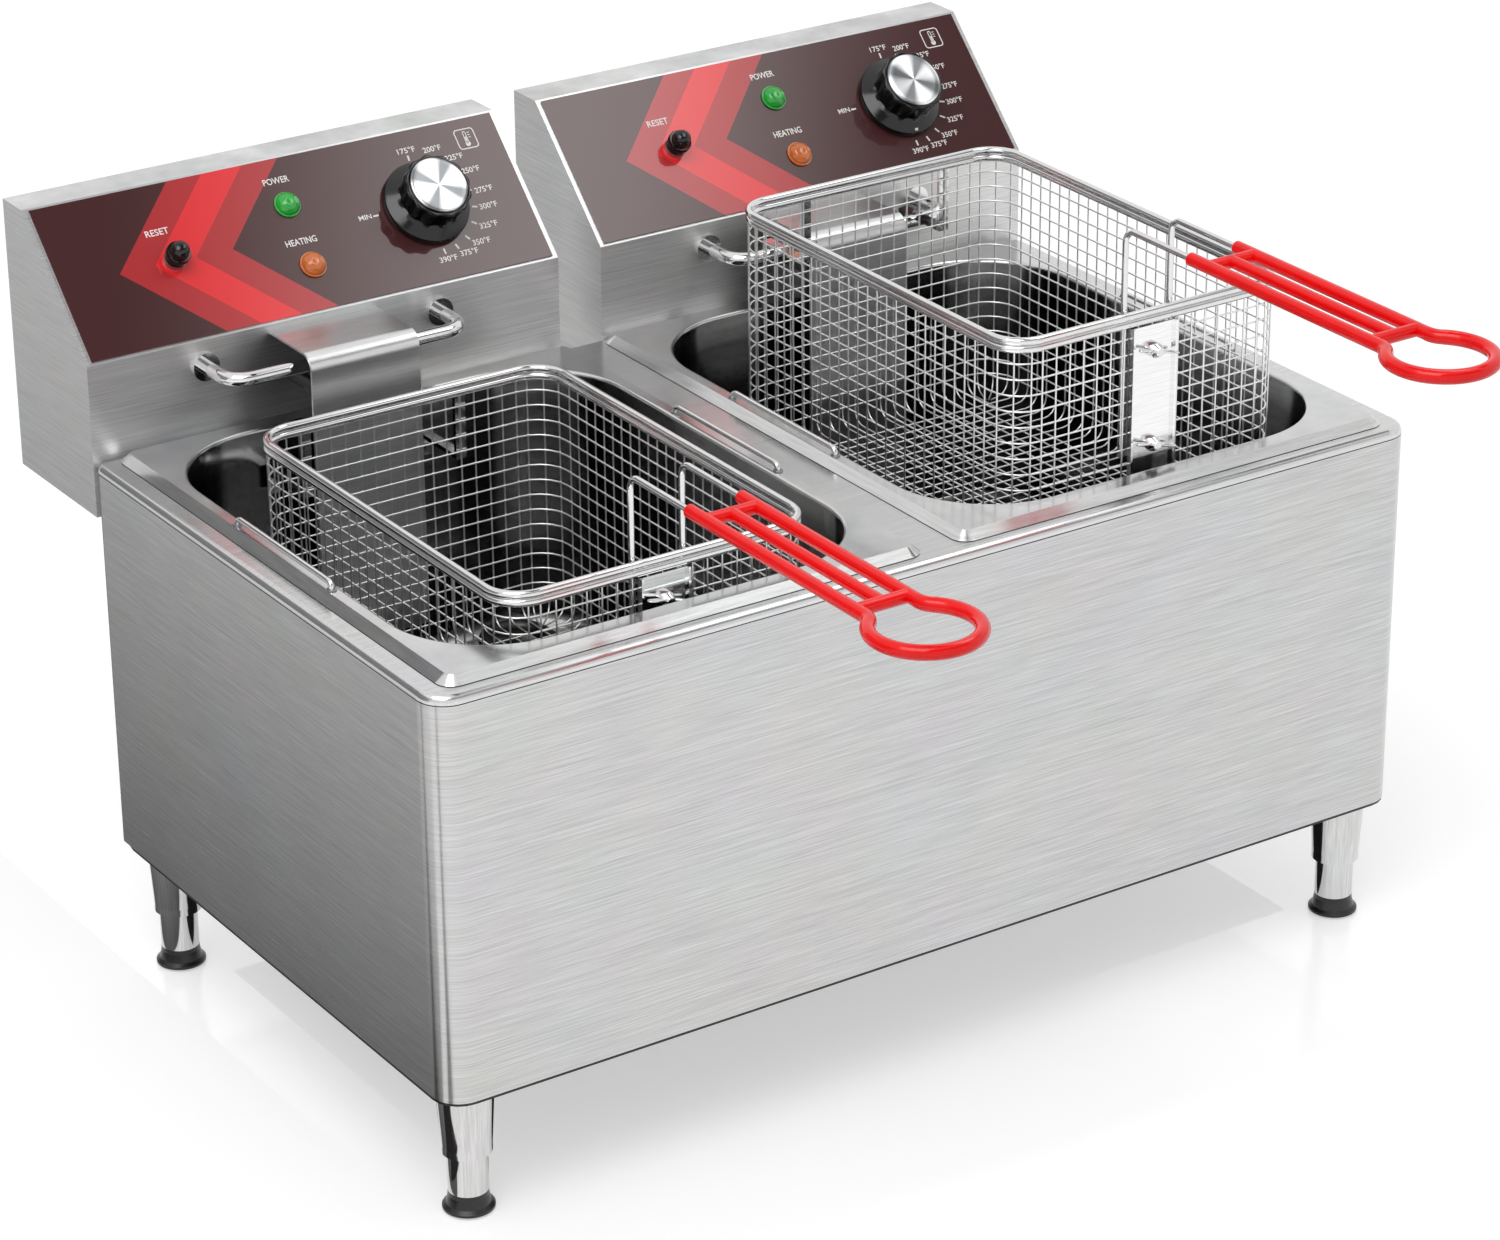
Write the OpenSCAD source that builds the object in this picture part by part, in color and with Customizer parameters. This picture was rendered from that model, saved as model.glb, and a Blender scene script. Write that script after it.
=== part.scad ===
// Countertop electric deep fryer with two tanks.
// The sheet steel cabinet stands on four screw feet. Two drop-in pans hang in its deck.
// Behind each pan a lift-off control head carries the heating element, its guard and the
// rod that a raised basket hangs from. All lengths are in millimetres.

/* [Cabinet] */
// Width of the cabinet
body_w = 580; // [540:5:680]
// Depth of the cabinet, without the control heads
body_d = 340; // [320:5:420]
// Height of the cabinet from its lower edge to the top of the deck
body_h = 212.6; // [190:0.1:280]
// Height of the cabinet's lower edge above the floor
body_z = 70.4; // [60:0.1:110]
// Thickness of the cabinet sheet
sheet = 1.2; // [0.8:0.1:2]
// Radius of the front upright corners
front_r = 15; // [8:1:25]
// Radius of the rear upright corners
rear_r = 6; // [6:0.5:20]
// Radius of the rolled edge around the deck
edge_r = 4; // [2:0.5:5]
// Straight skirt of the deck below its rolled edge
skirt_h = 0.6; // [0.4:0.1:4]
// Shadow gap between the deck skirt and the cabinet wall
seam = 0.5; // [0.3:0.1:0.9]
// Width of the wall flange that is turned in at each rear corner
rear_flange = 20; // [12:1:30]

/* [Legs] */
// Distance from the cabinet sides to the axis of each leg
leg_inset = 21; // [18:1:60]
// Diameter of the leg sleeve where it meets the cabinet
sleeve_top_d = 29; // [26:0.5:34]
// Diameter of the leg sleeve at its lower lip
sleeve_low_d = 25; // [23:0.5:26]
// Length of the leg sleeve
sleeve_len = 38; // [30:0.5:45]
// Height of the straight lip at the foot of the sleeve
sleeve_lip = 4; // [2:0.5:8]
// Thickness of the closed top of the sleeve
sleeve_cap = 2; // [1:0.5:4]
// Diameter of the sliding foot tube
foot_tube_d = 20.2; // [16:0.1:21]
// Radial clearance of the foot tube in its sleeve
foot_fit = 0.1; // [0.05:0.01:0.3]
// Clearance between the foot tube and the closed top of its sleeve
foot_end_gap = 0.4; // [0.3:0.1:2]
// Diameter of the rubber pad at its brim
pad_d = 26; // [22:0.5:34]
// Height of the rubber pad
pad_h = 11; // [8:0.5:16]
// Height of the brim of the rubber pad
pad_brim = 2.5; // [1.5:0.5:4]

/* [Tanks] */
// Deck strip left at each side of the two pans
deck_side = 11; // [6:1:20]
// Deck strip left between the two pans
deck_mid = 20; // [10:1:40]
// Deck strip left in front of the pans
deck_front = 8; // [5:1:30]
// Deck strip left behind the pans
deck_rear = 2; // [2:0.5:10]
// Clearance between the deck and the foot of a pan's flange
tank_seat = 0.3; // [0.2:0.1:0.6]
// Height of the raised flange above its foot
flange_rise = 4; // [2:0.5:8]
// Width of the sloped border of the flange
flange_slope = 4.8; // [3:0.1:6]
// Corner radius of the flange at its foot
flange_r = 9; // [8:0.5:16]
// Flange width from its foot to the opening, at the sides
flange_side = 12; // [11.8:0.1:20]
// Flange width from its foot to the opening, front and rear
flange_end = 16; // [12:0.5:30]
// Corner radius of the pan opening
opening_r = 55; // [40:1:80]
// Radius of the rolled lip of the opening
lip_r = 2; // [1.5:0.1:2.2]
// Sheet thickness of the pan
tank_t = 0.8; // [0.6:0.1:1.2]
// Inside depth of the pan below the top of its flange
tank_depth = 150; // [140:1:180]
// Inside radius between wall and floor of the pan
tank_floor_r = 15; // [8:1:25]
// Width of the deck ledge that carries the flange
ledge = 4.4; // [3:0.1:5]
// Corner radius of the cut-outs in the deck
cutout_r = 12; // [5:1:30]

/* [Tank handles] */
// Wire diameter of the pull-up handles of the pans
pull_wire = 3; // [2:0.1:3.2]
// Distance between the two legs of a pull-up handle
pull_len = 94; // [60:1:120]
// Distance of the handle wire from the edge of the opening
pull_off = 4.6; // [4.4:0.1:4.8]
// Height of the wire axis above the flange when pushed down
pull_h = 3.6; // [3:0.1:6]
// Bend radius at the ends of a pull-up handle
pull_bend = 3.6; // [3.2:0.1:8]
// How far a handle can be pulled up
pull_travel = 22; // [15:1:26]
// Length of the bent tip that stops a handle leg
pull_tip = 5; // [3:0.5:8]
// Radial clearance of the handle leg in its eyelet
pull_fit = 0.1; // [0.05:0.01:0.2]
// Radial wall of an eyelet
eyelet_wall = 0.9; // [0.6:0.1:1]
// Height of the eyelet collar on top of the flange
eyelet_h = 0.7; // [0.4:0.1:1.2]

/* [Baskets] */
// Gap between the opening and the basket rim, at the sides
basket_side = 35; // [25:1:45]
// Gap between the opening and the basket rim, at the front
basket_front = 9; // [6:1:20]
// Gap between the opening and the basket rim, at the rear
basket_rear = 41; // [38:0.5:60]
// Depth of a basket from the top of its rim to its floor
basket_h = 142.5; // [100:0.5:150]
// Corner radius of the basket rim
basket_r = 20; // [14:1:30]
// Wire diameter of the two rods of the rim
rim_wire = 4.2; // [3:0.1:5]
// How far the two rim rods are pressed into each other at their weld
rim_weld = 0.2; // [0.1:0.05:0.4]
// Distance from the outside of the rim to the outside of the mesh
mesh_inset = 0.9; // [0.5:0.1:1.2]
// Thickness of the woven wire mesh
mesh_t = 1.6; // [1:0.1:2.5]
// Radius between the walls and the floor of the mesh
mesh_r = 8; // [4:1:12]
// Size of the openings that stand for the mesh in a basket's walls and floor
mesh_cell = 26; // [18:1:40]
// Width of the ribs between the openings
mesh_rib = 3; // [2:0.5:5]
// Width of a hook at the rear of a basket
hook_w = 6; // [4:0.5:10]
// Thickness of a hook
hook_t = 2.4; // [1.5:0.1:2.6]
// Depth from the top of the rim to the underside of the hook arm
hook_drop = 43.7; // [30:0.1:50]
// Length of the hook tip below the hook arm
hook_tip = 10; // [6:1:16]
// Distance of each hook from the middle of the hanger rod
hook_off = 45; // [40:0.5:48]
// Clearance between the hooks and the hanger rod
hook_gap = 0.3; // [0.2:0.1:0.8]
// How far the front plate hangs in front of the mesh
plate_gap = 0.1; // [0.05:0.05:0.5]
// Width of the front plate
plate_w = 27.5; // [22:0.5:40]
// Height of the front plate
plate_h = 92; // [80:1:110]
// Thickness of the front plate
plate_t = 1.2; // [0.8:0.1:2]
// Depth of the folded side edges of the front plate
plate_fold = 3; // [2:0.5:6]
// Depth of the upper wing bolt below the top of the rim
bolt_top = 21.4; // [16:0.1:30]
// Distance between the two wing bolts
bolt_pitch = 50; // [30:0.5:60]
// Diameter of a wing bolt's shank
bolt_d = 4; // [3:0.5:6]
// Diameter of a wing bolt's hub
bolt_hub_d = 8; // [7:0.5:10]
// Length of a wing bolt's hub
bolt_hub_h = 5; // [4:0.5:5.5]
// Clearance between the wing tips and the folded edges of the plate
bolt_side = 1; // [0.5:0.1:3]
// Thickness of the wings
bolt_wing_t = 2; // [1.5:0.1:3]

/* [Basket handle] */
// Diameter of the bare handle wire
handle_wire = 3.2; // [2.5:0.1:4]
// Diameter of the coated part of the handle
grip_d = 6.8; // [4.4:0.1:7.2]
// Step in the thickness of the coating from bars to wires, flares and loop
grip_bead = 0.1; // [0.05:0.05:0.3]
// Distance between the two wires of the handle
handle_pitch = 28.4; // [24:0.2:36]
// Clearance between the rim and the handle wires behind it
handle_weld = 0.1; // [0.05:0.05:0.3]
// Length of the handle legs below the lower wing bolt
leg_over = 6.6; // [4:0.2:12]
// Height of the handle above the top of the rim
handle_rise = 42.7; // [25:0.1:70]
// Bend radius of the handle wires
handle_bend = 7; // [5:0.5:12]
// Distance from the legs to the start of the coating
grip_start = 51; // [30:0.5:60]
// Distance from the legs to the first cross bar
bar_a = 64.6; // [62:0.1:80]
// Distance from the legs to the second cross bar
bar_b = 184.1; // [140:0.1:200]
// Straight coated wire between the second cross bar and the loop
loop_run = 7; // [3.5:0.5:20]
// Radius of the loop at the end of the handle
loop_r = 25; // [20:0.5:32]
// Radius of the flare between the straight wires and the loop
flare_r = 10; // [6:0.5:16]
// Depth of the bare wire inside the coating
wire_in = 9; // [6:0.5:10]
// Thickness of the clamp strip between the handle legs
clamp_t = 2; // [1.5:0.1:3]

/* [Control heads] */
// Gap between the two control heads
head_mid = 26.6; // [10:0.2:40]
// Clearance between the cabinet and the front of a head
head_gap = 0.3; // [0.2:0.1:1]
// Depth of a head, front to back
head_d = 86; // [80:1:120]
// Height of the upright front of a head
head_front_h = 82; // [78:0.5:100]
// Height of a head's lower edge below the deck
head_drop = 30.5; // [20:0.5:40]
// Length of the sloped control face
slope_len = 90.8; // [86:0.2:110]
// Angle of the control face above the horizontal
slope_a = 45; // [40:1:50]
// Sheet thickness of the heads
head_t = 1.2; // [0.8:0.1:1.6]
// Thickness of the printed control panel
panel_t = 1; // [0.6:0.1:1.5]
// Bare sheet left at the ends of the control panel
panel_end = 3; // [2:0.5:6]
// Bare sheet left above and below the control panel
panel_edge = 1.5; // [1:0.1:3]
// Thickness of the carrier rails on the cabinet back
rail_t = 1.5; // [1:0.1:3]
// Length of each carrier rail
rail_len = 200; // [120:5:220]
// Depth of the shelf of a carrier rail
rail_shelf = 60; // [40:1:70]
// Height of the upright leg of a carrier rail
rail_h = 30; // [20:1:60]
// Clearance between a head and its carrier rail
rail_gap = 0.3; // [0.2:0.1:0.6]

/* [Controls] */
// Reset button from the middle of the head, along the panel
reset_x = -70.5; // [-90:0.5:-50]
// Reset button above the lower edge of the control face
reset_s = 46; // [30:0.5:60]
// Lamps from the middle of the head, along the panel
lamp_x = 1.5; // [-10:0.5:10]
// Power lamp above the lower edge of the control face
power_s = 62; // [55:0.5:70]
// Heating lamp above the lower edge of the control face
heating_s = 26.3; // [20:0.1:34]
// Knob from the middle of the head, along the panel
knob_x = 76.6; // [60:0.2:90]
// Knob above the lower edge of the control face
knob_s = 45.4; // [40:0.2:50]
// Diameter of the lamp bezels
lamp_d = 14.6; // [12:0.1:18]
// Height of the lamp lenses above the panel
lamp_h = 5; // [3:0.5:7]
// Height of the lamp bezels above the panel
bezel_h = 1.2; // [0.8:0.1:2]
// Bare width of the bezel around the lens
bezel_w = 1.2; // [0.6:0.1:2]
// Diameter of the lamp bodies behind the panel
lamp_stem_d = 12; // [9:0.5:12]
// Length of the lamp bodies behind the panel
lamp_stem = 22; // [12:1:26]
// Radial clearance of parts set in panel holes
hole_fit = 0.1; // [0.05:0.01:0.3]
// Diameter of the reset button's skirt
reset_d = 13; // [12:0.5:17]
// Diameter of the reset button's neck
reset_neck_d = 10; // [8:0.5:12]
// Height of the reset button above its nut
reset_h = 9.5; // [6:0.5:14]
// Height of the reset button's skirt
reset_skirt_h = 3.5; // [2:0.5:5]
// Length of the button stem behind the control face
reset_in = 5; // [3:0.5:8]
// Clearance left below the button at the end of its stroke
reset_end = 0.4; // [0.3:0.1:1]
// Stroke of the reset button
reset_travel = 2.5; // [1.5:0.1:4]
// Diameter of the reset button's stem
reset_stem_d = 6; // [4:0.5:7]
// Diameter of the threaded bush around the stem
bush_d = 9; // [8.5:0.5:10]
// Diameter of the round nut on the bush
nut_d = 12; // [11.5:0.5:16]
// Height of the round nut
nut_h = 2.4; // [1.5:0.1:4]
// Running fit of the turning and sliding controls, radial
run_fit = 0.05; // [0.02:0.01:0.1]

/* [Dial knob] */
// Diameter of the knob skirt
knob_d = 47.5; // [40:0.5:54]
// Clearance below the knob skirt
knob_gap = 0.5; // [0.3:0.1:1]
// Height of the knob skirt
knob_skirt_h = 4.5; // [3:0.5:8]
// Height of the sloped shoulder above the skirt
knob_shoulder_h = 2; // [1:0.5:4]
// Diameter of the fluted grip
knob_grip_d = 37.4; // [34:0.1:40]
// Height from the knob's underside to the top of its grip
knob_h = 21; // [18:0.5:26]
// Number of flutes around the grip
flutes = 12; // [6:1:16]
// Radius of each flute
flute_r = 5; // [3:0.5:6]
// Depth of each flute
flute_depth = 1; // [0.5:0.1:1.6]
// Diameter of the aluminium cap
cap_d = 31.8; // [26:0.1:32]
// Height of the cap above the grip
cap_h = 1.5; // [0.5:0.1:3]
// Depth of the cap's seat in the grip
cap_seat = 1; // [0.5:0.1:2]
// Diameter of the thermostat spindle
spindle_d = 6; // [5:0.5:8]
// Depth of the spindle bore in the knob
spindle_in = 14; // [10:0.5:15]
// Clearance between the spindle's end and its bore
spindle_end = 1; // [0.5:0.1:2]

/* [Hanger rod] */
// Diameter of the hanger rod
rod_d = 7.5; // [6:0.5:9]
// Distance between the two mounts of the rod
rod_span = 137.5; // [130:0.5:145]
// Distance from the head to the axis of the rod
rod_reach = 28.5; // [27.5:0.5:29]
// Depth of the rod axis below the upper front edge of the head
rod_drop = 14.2; // [13:0.1:14.5]
// Bend radius of the rod
rod_bend = 13; // [10:0.5:16]
// Diameter of the rod's mounting flanges
rod_flange_d = 15; // [12:0.5:18]
// Thickness of the rod's mounting flanges
rod_flange_t = 2; // [1:0.5:4]
// Rod position from the middle of the left head
left_rod_x = -3.8; // [-12:0.1:4]
// Rod position from the middle of the right head
right_rod_x = -2; // [-12:0.1:4]

/* [Heating] */
// Width of the element guard
guard_w = 63; // [56:1:66]
// Sheet thickness of the element guard
guard_t = 1.2; // [0.8:0.1:1.4]
// Outside bend radius of the element guard
guard_r = 8; // [5:0.5:12]
// Distance from the upper front edge of the head down to the guard
guard_drop = 3.5; // [1:0.1:5]
// Clearance between the guard and the hanger rod
guard_gap = 10.9; // [10:0.1:12]
// Clearance between the guard's lower edge and the heating element
guard_low = 4; // [2:0.5:12]
// Diameter of the heating element tube
tube_d = 8; // [6:0.5:9]
// Clearance from the pan floor to the heating element
tube_lift = 18.7; // [10:0.1:30]
// Half distance between the two upright element legs
tube_leg_x = 18; // [16:0.5:22]
// Radius of the turns of the element
turn_r = 16; // [12:0.5:16]
// Radius of the upright bends of the element
tube_bend = 10; // [8:0.5:12]
// Distance from the guard sheet to the axis of the element legs
tube_back = 17.6; // [16.5:0.1:18]
// Depth of the element axis below the upper front edge of the head
tube_drop = 29.5; // [26:0.5:32]
// Length of the element inside the head
tube_in = 14; // [8:1:24]
// Gap from the front of the pan opening to the element
loop_front = 34; // [20:1:60]
// Gap from the rear of the pan opening to the element's turns
loop_rear = 40; // [34:1:60]
// Clearance between the element and a lowered basket
basket_seat = 0.3; // [0.2:0.1:0.8]
// Diameter of the thermostat bulbs
bulb_d = 6; // [4:0.5:7]
// Length of the thermostat bulbs
bulb_len = 80; // [40:1:100]
// Half distance between the two bulbs
bulb_x = 6; // [4:0.5:8]
// Height of the bulbs above the element axis
bulb_lift = 22; // [16:1:40]
// Diameter of the capillary tubes
cap_tube_d = 2.4; // [1.5:0.1:3]
// Height of the capillary axis above the element axis at the head
cap_tube_up = 9; // [8:0.5:12]
// Side length of the thermostat housing
stat_w = 36; // [28:1:40]
// Depth of the thermostat housing
stat_h = 22; // [14:1:26]
// Diameter of the reset cut-out's housing
limit_d = 26; // [20:1:34]
// Diameter of the cable gland
gland_d = 20; // [14:1:26]
// Length of the cable gland outside the head
gland_len = 14; // [8:1:20]
// Radial wall of the gland's neck in the head's rear cover
gland_wall = 3; // [2:0.5:5]
// Bore of the cable gland
gland_bore = 9; // [6:0.5:12]
// Height of the cable gland above the head's lower edge
gland_z = 26; // [18:1:50]
// Cable gland from the middle of the head
gland_x = -90; // [-110:1:-60]
// Terminal block from the middle of the head
block_x = -30; // [-60:1:0]
// Length of the terminal block
block_l = 50; // [30:1:70]
// Depth of the terminal block
block_d = 18; // [12:1:30]
// Height of the terminal block
block_h = 16; // [10:1:24]

/* [Hidden] */
$fn = 64;

// Heights
deck_z = body_z + body_h;
deck_low_z = deck_z - edge_r - skirt_h;
wall_top_z = deck_low_z - seam;
foot_z = deck_z + tank_seat;
rim_z = foot_z + flange_rise;
tank_in_z = rim_z - tank_depth;
tube_z = tank_in_z + tube_lift + tube_d / 2;
head_z = deck_z - head_drop;
edge_z = head_z + head_front_h;
rod_z = edge_z - rod_drop;
low_basket_z = tube_z + tube_d / 2 + basket_seat + basket_h;
high_basket_z = rod_z + rod_d / 2 + hook_gap + hook_drop;

// Pans
tank_w = (body_w - 2 * deck_side - deck_mid) / 2;
tank_d = body_d - deck_front - deck_rear;
tank_x = (deck_mid + tank_w) / 2;
tank_y = deck_front + tank_d / 2;
open_w = tank_w - 2 * flange_side;
open_d = tank_d - 2 * flange_end;
open_y0 = deck_front + flange_end;
open_y1 = open_y0 + open_d;
lap = 1;
pull_x = open_w / 2 + pull_off;

// Baskets
basket_w = open_w - 2 * basket_side;
basket_d = open_d - basket_front - basket_rear;
basket_y0 = open_y0 + basket_front;
basket_y = basket_y0 + basket_d / 2;
rim_h = 2 * rim_wire - rim_weld;
mesh_y0 = -basket_d / 2 + mesh_inset;
mesh_top = -rim_h;
leg_drop = bolt_top + bolt_pitch + leg_over;
bolt_span = plate_w - 2 * plate_t - 2 * bolt_side;
handle_y = -basket_d / 2 + rim_wire + handle_weld + handle_wire / 2;

// Heads
head_w = (body_w - head_mid) / 2;
head_x = (head_mid + head_w) / 2;
head_y = body_d + head_gap;
head_h = head_front_h + slope_len * sin(slope_a);
panel_w = head_w - 2 * panel_end;
panel_s = slope_len - 2 * panel_edge;
rod_y = head_y - rod_reach;
guard_in_y = rod_y - rod_d / 2 - guard_gap;
guard_y = guard_in_y - guard_t;
leg_y = guard_in_y + tube_back;
leg_z = edge_z - tube_drop;
stem_hole_d = lamp_stem_d + 2 * hole_fit;
bush_hole_d = bush_d + 2 * hole_fit;
spindle_hole_d = spindle_d + 2;

// The whole object is centred on its footprint
loop_flare = flare_r + handle_pitch / 2;
loop_rise = sqrt(pow(loop_r + flare_r, 2) - pow(loop_flare, 2));
loop_a = atan2(loop_rise, loop_flare);
loop_y = handle_y - bar_b - loop_run - loop_rise;
front_y = basket_y + loop_y - loop_r - grip_d / 2 - 2 * grip_bead;
back_y = max(head_y + head_d, body_d);
gland_y = gland_len;
mid_y = (front_y + back_y + gland_y) / 2;
// Length by which cuts run past a surface
cut = 1;
left = -1;
right = 1;
left_hang = (tank_x - head_x) + left_rod_x;
right_hang = (head_x - tank_x) + right_rod_x;

// ---------- shared shapes ----------

// Puts the cabinet frame over the origin of the whole object
module placed() {
    translate([0, -mid_y, 0])
        children();
}

// Rectangle centred on the origin with round corners
module round_rect(w, d, r) {
    square([w - 2 * r, d], center = true);
    square([w, d - 2 * r], center = true);
    for (sx = [-1, 1])
        for (sy = [-1, 1])
            translate([sx * (w / 2 - r), sy * (d / 2 - r)])
                circle(r = r);
}

// Cabinet outline, front edge on y = 0, with front corners rf and rear corners rb
module plan(w, d, rf, rb) {
    translate([-w / 2, rf])
        square([w, d - rf - rb]);
    translate([-w / 2 + rf, 0])
        square([w - 2 * rf, d / 2]);
    translate([-w / 2 + rb, d / 2])
        square([w - 2 * rb, d / 2]);
    for (s = [-1, 1]) {
        translate([s * (w / 2 - rf), rf])
            circle(r = rf);
        translate([s * (w / 2 - rb), d - rb])
            circle(r = rb);
    }
}

// Straight run of a profile, outward along +X, centred on y = 0
module run(len) {
    translate([0, len / 2, 0])
        rotate([90, 0, 0])
            linear_extrude(height = len)
                children();
}

// Profile led round a rectangle with round corners; profile x is outward, y is up
module ring_sweep(w, d, r) {
    for (a = [0, 180]) {
        rotate([0, 0, a]) {
            translate([w / 2, 0, 0])
                run(d - 2 * r)
                    children();
            translate([w / 2 - r, d / 2 - r, 0])
                rotate_extrude(angle = 90)
                    translate([r, 0])
                        children();
        }
        rotate([0, 0, a + 90]) {
            translate([d / 2, 0, 0])
                run(w - 2 * r)
                    children();
            translate([d / 2 - r, w / 2 - r, 0])
                rotate_extrude(angle = 90)
                    translate([r, 0])
                        children();
        }
    }
}

// Quarter of a ring; qx and qy give the quadrant
module quarter_ring(r_out, r_in, qx, qy) {
    intersection() {
        difference() {
            circle(r = r_out);
            circle(r = r_in);
        }
        translate([qx > 0 ? 0 : -r_out, qy > 0 ? 0 : -r_out])
            square([r_out, r_out]);
    }
}

// Profile in the YZ plane extruded along X, centred on x = 0
module yz_prism(len) {
    translate([-len / 2, 0, 0])
        rotate([90, 0, 90])
            linear_extrude(height = len)
                children();
}

// Round bar from the origin along +Z
module bar(len, d) {
    cylinder(h = len, d = d);
}

// Part of a torus: starts on +X and turns about Z by the angle
module bend(r, d, angle) {
    rotate_extrude(angle = angle)
        translate([r, 0])
            circle(d = d);
}

// Places a control on the sloped face: x from the head's middle, s up the slope
module on_slope(x, s) {
    translate([x, head_y, edge_z])
        rotate([slope_a, 0, 0])
            translate([0, s, 0])
                children();
}

// ---------- cabinet ----------

module cabinet_shell() {
    color("silver")
        placed()
        difference() {
            translate([0, 0, body_z])
                linear_extrude(height = wall_top_z - body_z)
                    difference() {
                        plan(body_w, body_d, front_r, rear_r);
                        translate([0, sheet])
                            plan(body_w - 2 * sheet, body_d - 2 * sheet, front_r - sheet, rear_r - sheet);
                    }
            translate([-body_w / 2 + rear_flange, body_d / 2, body_z - cut])
                cube([body_w - 2 * rear_flange, body_d, body_h]);
        }
}

module cabinet_back() {
    color("gray")
        placed()
        translate([-body_w / 2 + rear_r, body_d - 2 * sheet, body_z + sheet])
            cube([body_w - 2 * rear_r, sheet, wall_top_z - body_z - sheet]);
}

module base_plate() {
    color("gray")
        placed()
        translate([0, sheet, body_z])
            linear_extrude(height = sheet)
                plan(body_w - 2 * sheet, body_d - 2 * sheet, front_r - sheet, rear_r - sheet);
}

// Section of the rolled deck edge, outer face on x = 0 and top on y = 0
module deck_edge() {
    translate([-edge_r, -edge_r])
        quarter_ring(edge_r, edge_r - sheet, 1, 1);
    translate([-sheet, -edge_r - skirt_h])
        square([sheet, skirt_h]);
    translate([-edge_r - lap, -sheet])
        square([lap, sheet]);
}

// Rolled edge led round the deck with its two corner radii
module deck_border() {
    for (s = [-1, 1]) {
        translate([s * body_w / 2, (front_r + body_d - rear_r) / 2, 0])
            rotate([0, 0, s > 0 ? 0 : 180])
                run(body_d - front_r - rear_r)
                    deck_edge();
        translate([s * (body_w / 2 - front_r), front_r, 0])
            rotate([0, 0, s > 0 ? -90 : 180])
                rotate_extrude(angle = 90)
                    translate([front_r, 0])
                        deck_edge();
        translate([s * (body_w / 2 - rear_r), body_d - rear_r, 0])
            rotate([0, 0, s > 0 ? 0 : 90])
                rotate_extrude(angle = 90)
                    translate([rear_r, 0])
                        deck_edge();
    }
    rotate([0, 0, -90])
        run(body_w - 2 * front_r)
            deck_edge();
    translate([0, body_d, 0])
        rotate([0, 0, 90])
            run(body_w - 2 * rear_r)
                deck_edge();
}

module cabinet_deck() {
    color("silver")
        placed()
        translate([0, 0, deck_z]) {
            deck_border();
            translate([0, edge_r, -sheet])
                linear_extrude(height = sheet)
                    difference() {
                        plan(body_w - 2 * edge_r, body_d - 2 * edge_r, front_r - edge_r, rear_r - edge_r);
                        for (s = [-1, 1])
                            translate([s * tank_x, tank_y - edge_r])
                                round_rect(tank_w - 2 * ledge, tank_d - 2 * ledge, cutout_r);
                    }
        }
}

// Places something at each of the four legs
module at_leg(sx, sy) {
    translate([sx * (body_w / 2 - leg_inset), sy > 0 ? body_d - leg_inset : leg_inset, 0])
        children();
}

module leg_sleeves() {
    bore = foot_tube_d / 2 + foot_fit;
    color("lightgray")
        placed()
        for (sx = [-1, 1])
            for (sy = [-1, 1])
                at_leg(sx, sy)
                    translate([0, 0, body_z - sleeve_len])
                        difference() {
                            union() {
                                cylinder(h = sleeve_lip, d = sleeve_low_d);
                                translate([0, 0, sleeve_lip])
                                    cylinder(h = sleeve_len - sleeve_lip, d1 = sleeve_low_d,
                                        d2 = sleeve_top_d);
                            }
                            translate([0, 0, -cut])
                                cylinder(h = sleeve_len - sleeve_cap + cut, r = bore);
                        }
}

module leg_tube(sx, sy) {
    color("gainsboro")
        at_leg(sx, sy)
            translate([0, 0, pad_h])
                cylinder(h = body_z - sleeve_cap - foot_end_gap - pad_h, d = foot_tube_d);
}

module foot_pad(sx, sy) {
    neck = foot_tube_d / 2;
    brim = pad_d / 2;
    color("black")
        at_leg(sx, sy)
            rotate_extrude()
                polygon([
                    [0, 0], [neck, 0], [brim, pad_brim / 2], [brim, pad_brim],
                    [neck + (brim - neck) / 3, pad_brim + (brim - neck) / 2],
                    [neck, pad_h - pad_brim], [neck, pad_h], [0, pad_h]
                ]);
}

// Angle rails on the cabinet back; a head rests on each shelf
module head_rails() {
    shelf_z = head_z - rail_gap - rail_t;
    color("gray")
        placed()
        for (s = [-1, 1])
            translate([s * head_x - rail_len / 2, body_d - sheet, shelf_z]) {
                cube([rail_len, rail_shelf, rail_t]);
                translate([0, 0, rail_t - rail_h])
                    cube([rail_len, rail_t, rail_h]);
            }
}

// ---------- pans ----------

// Section of the sloped flange border, foot on the origin
module flange_border() {
    slant = sqrt(pow(flange_slope, 2) + pow(flange_rise, 2));
    foot_w = tank_t * slant / flange_rise;
    inner_x = -foot_w - flange_slope * (flange_rise - tank_t) / flange_rise;
    flat_x = -flange_slope - 2 * lap;
    polygon([
        [0, 0], [-flange_slope, flange_rise], [flat_x, flange_rise],
        [flat_x, flange_rise - tank_t], [inner_x, flange_rise - tank_t], [-foot_w, 0]
    ]);
}

// Section of the pan wall: rolled lip, wall and floor radius; inner face on x = 0
module wall_section() {
    translate([lip_r, rim_z - lip_r])
        quarter_ring(lip_r, lip_r - tank_t, -1, 1);
    translate([lip_r, rim_z - tank_t])
        square([lap, tank_t]);
    translate([0, tank_in_z + tank_floor_r])
        square([tank_t, rim_z - lip_r - tank_in_z - tank_floor_r]);
    translate([-tank_floor_r, tank_in_z + tank_floor_r])
        quarter_ring(tank_floor_r + tank_t, tank_floor_r, 1, -1);
    translate([-tank_floor_r - lap, tank_in_z - tank_t])
        square([lap, tank_t]);
}

// Places something at the four holes of the pull-up handles
module at_pull_holes() {
    for (sx = [-1, 1])
        for (sy = [-1, 1])
            translate([sx * pull_x, sy * pull_len / 2, 0])
                children();
}

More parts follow.
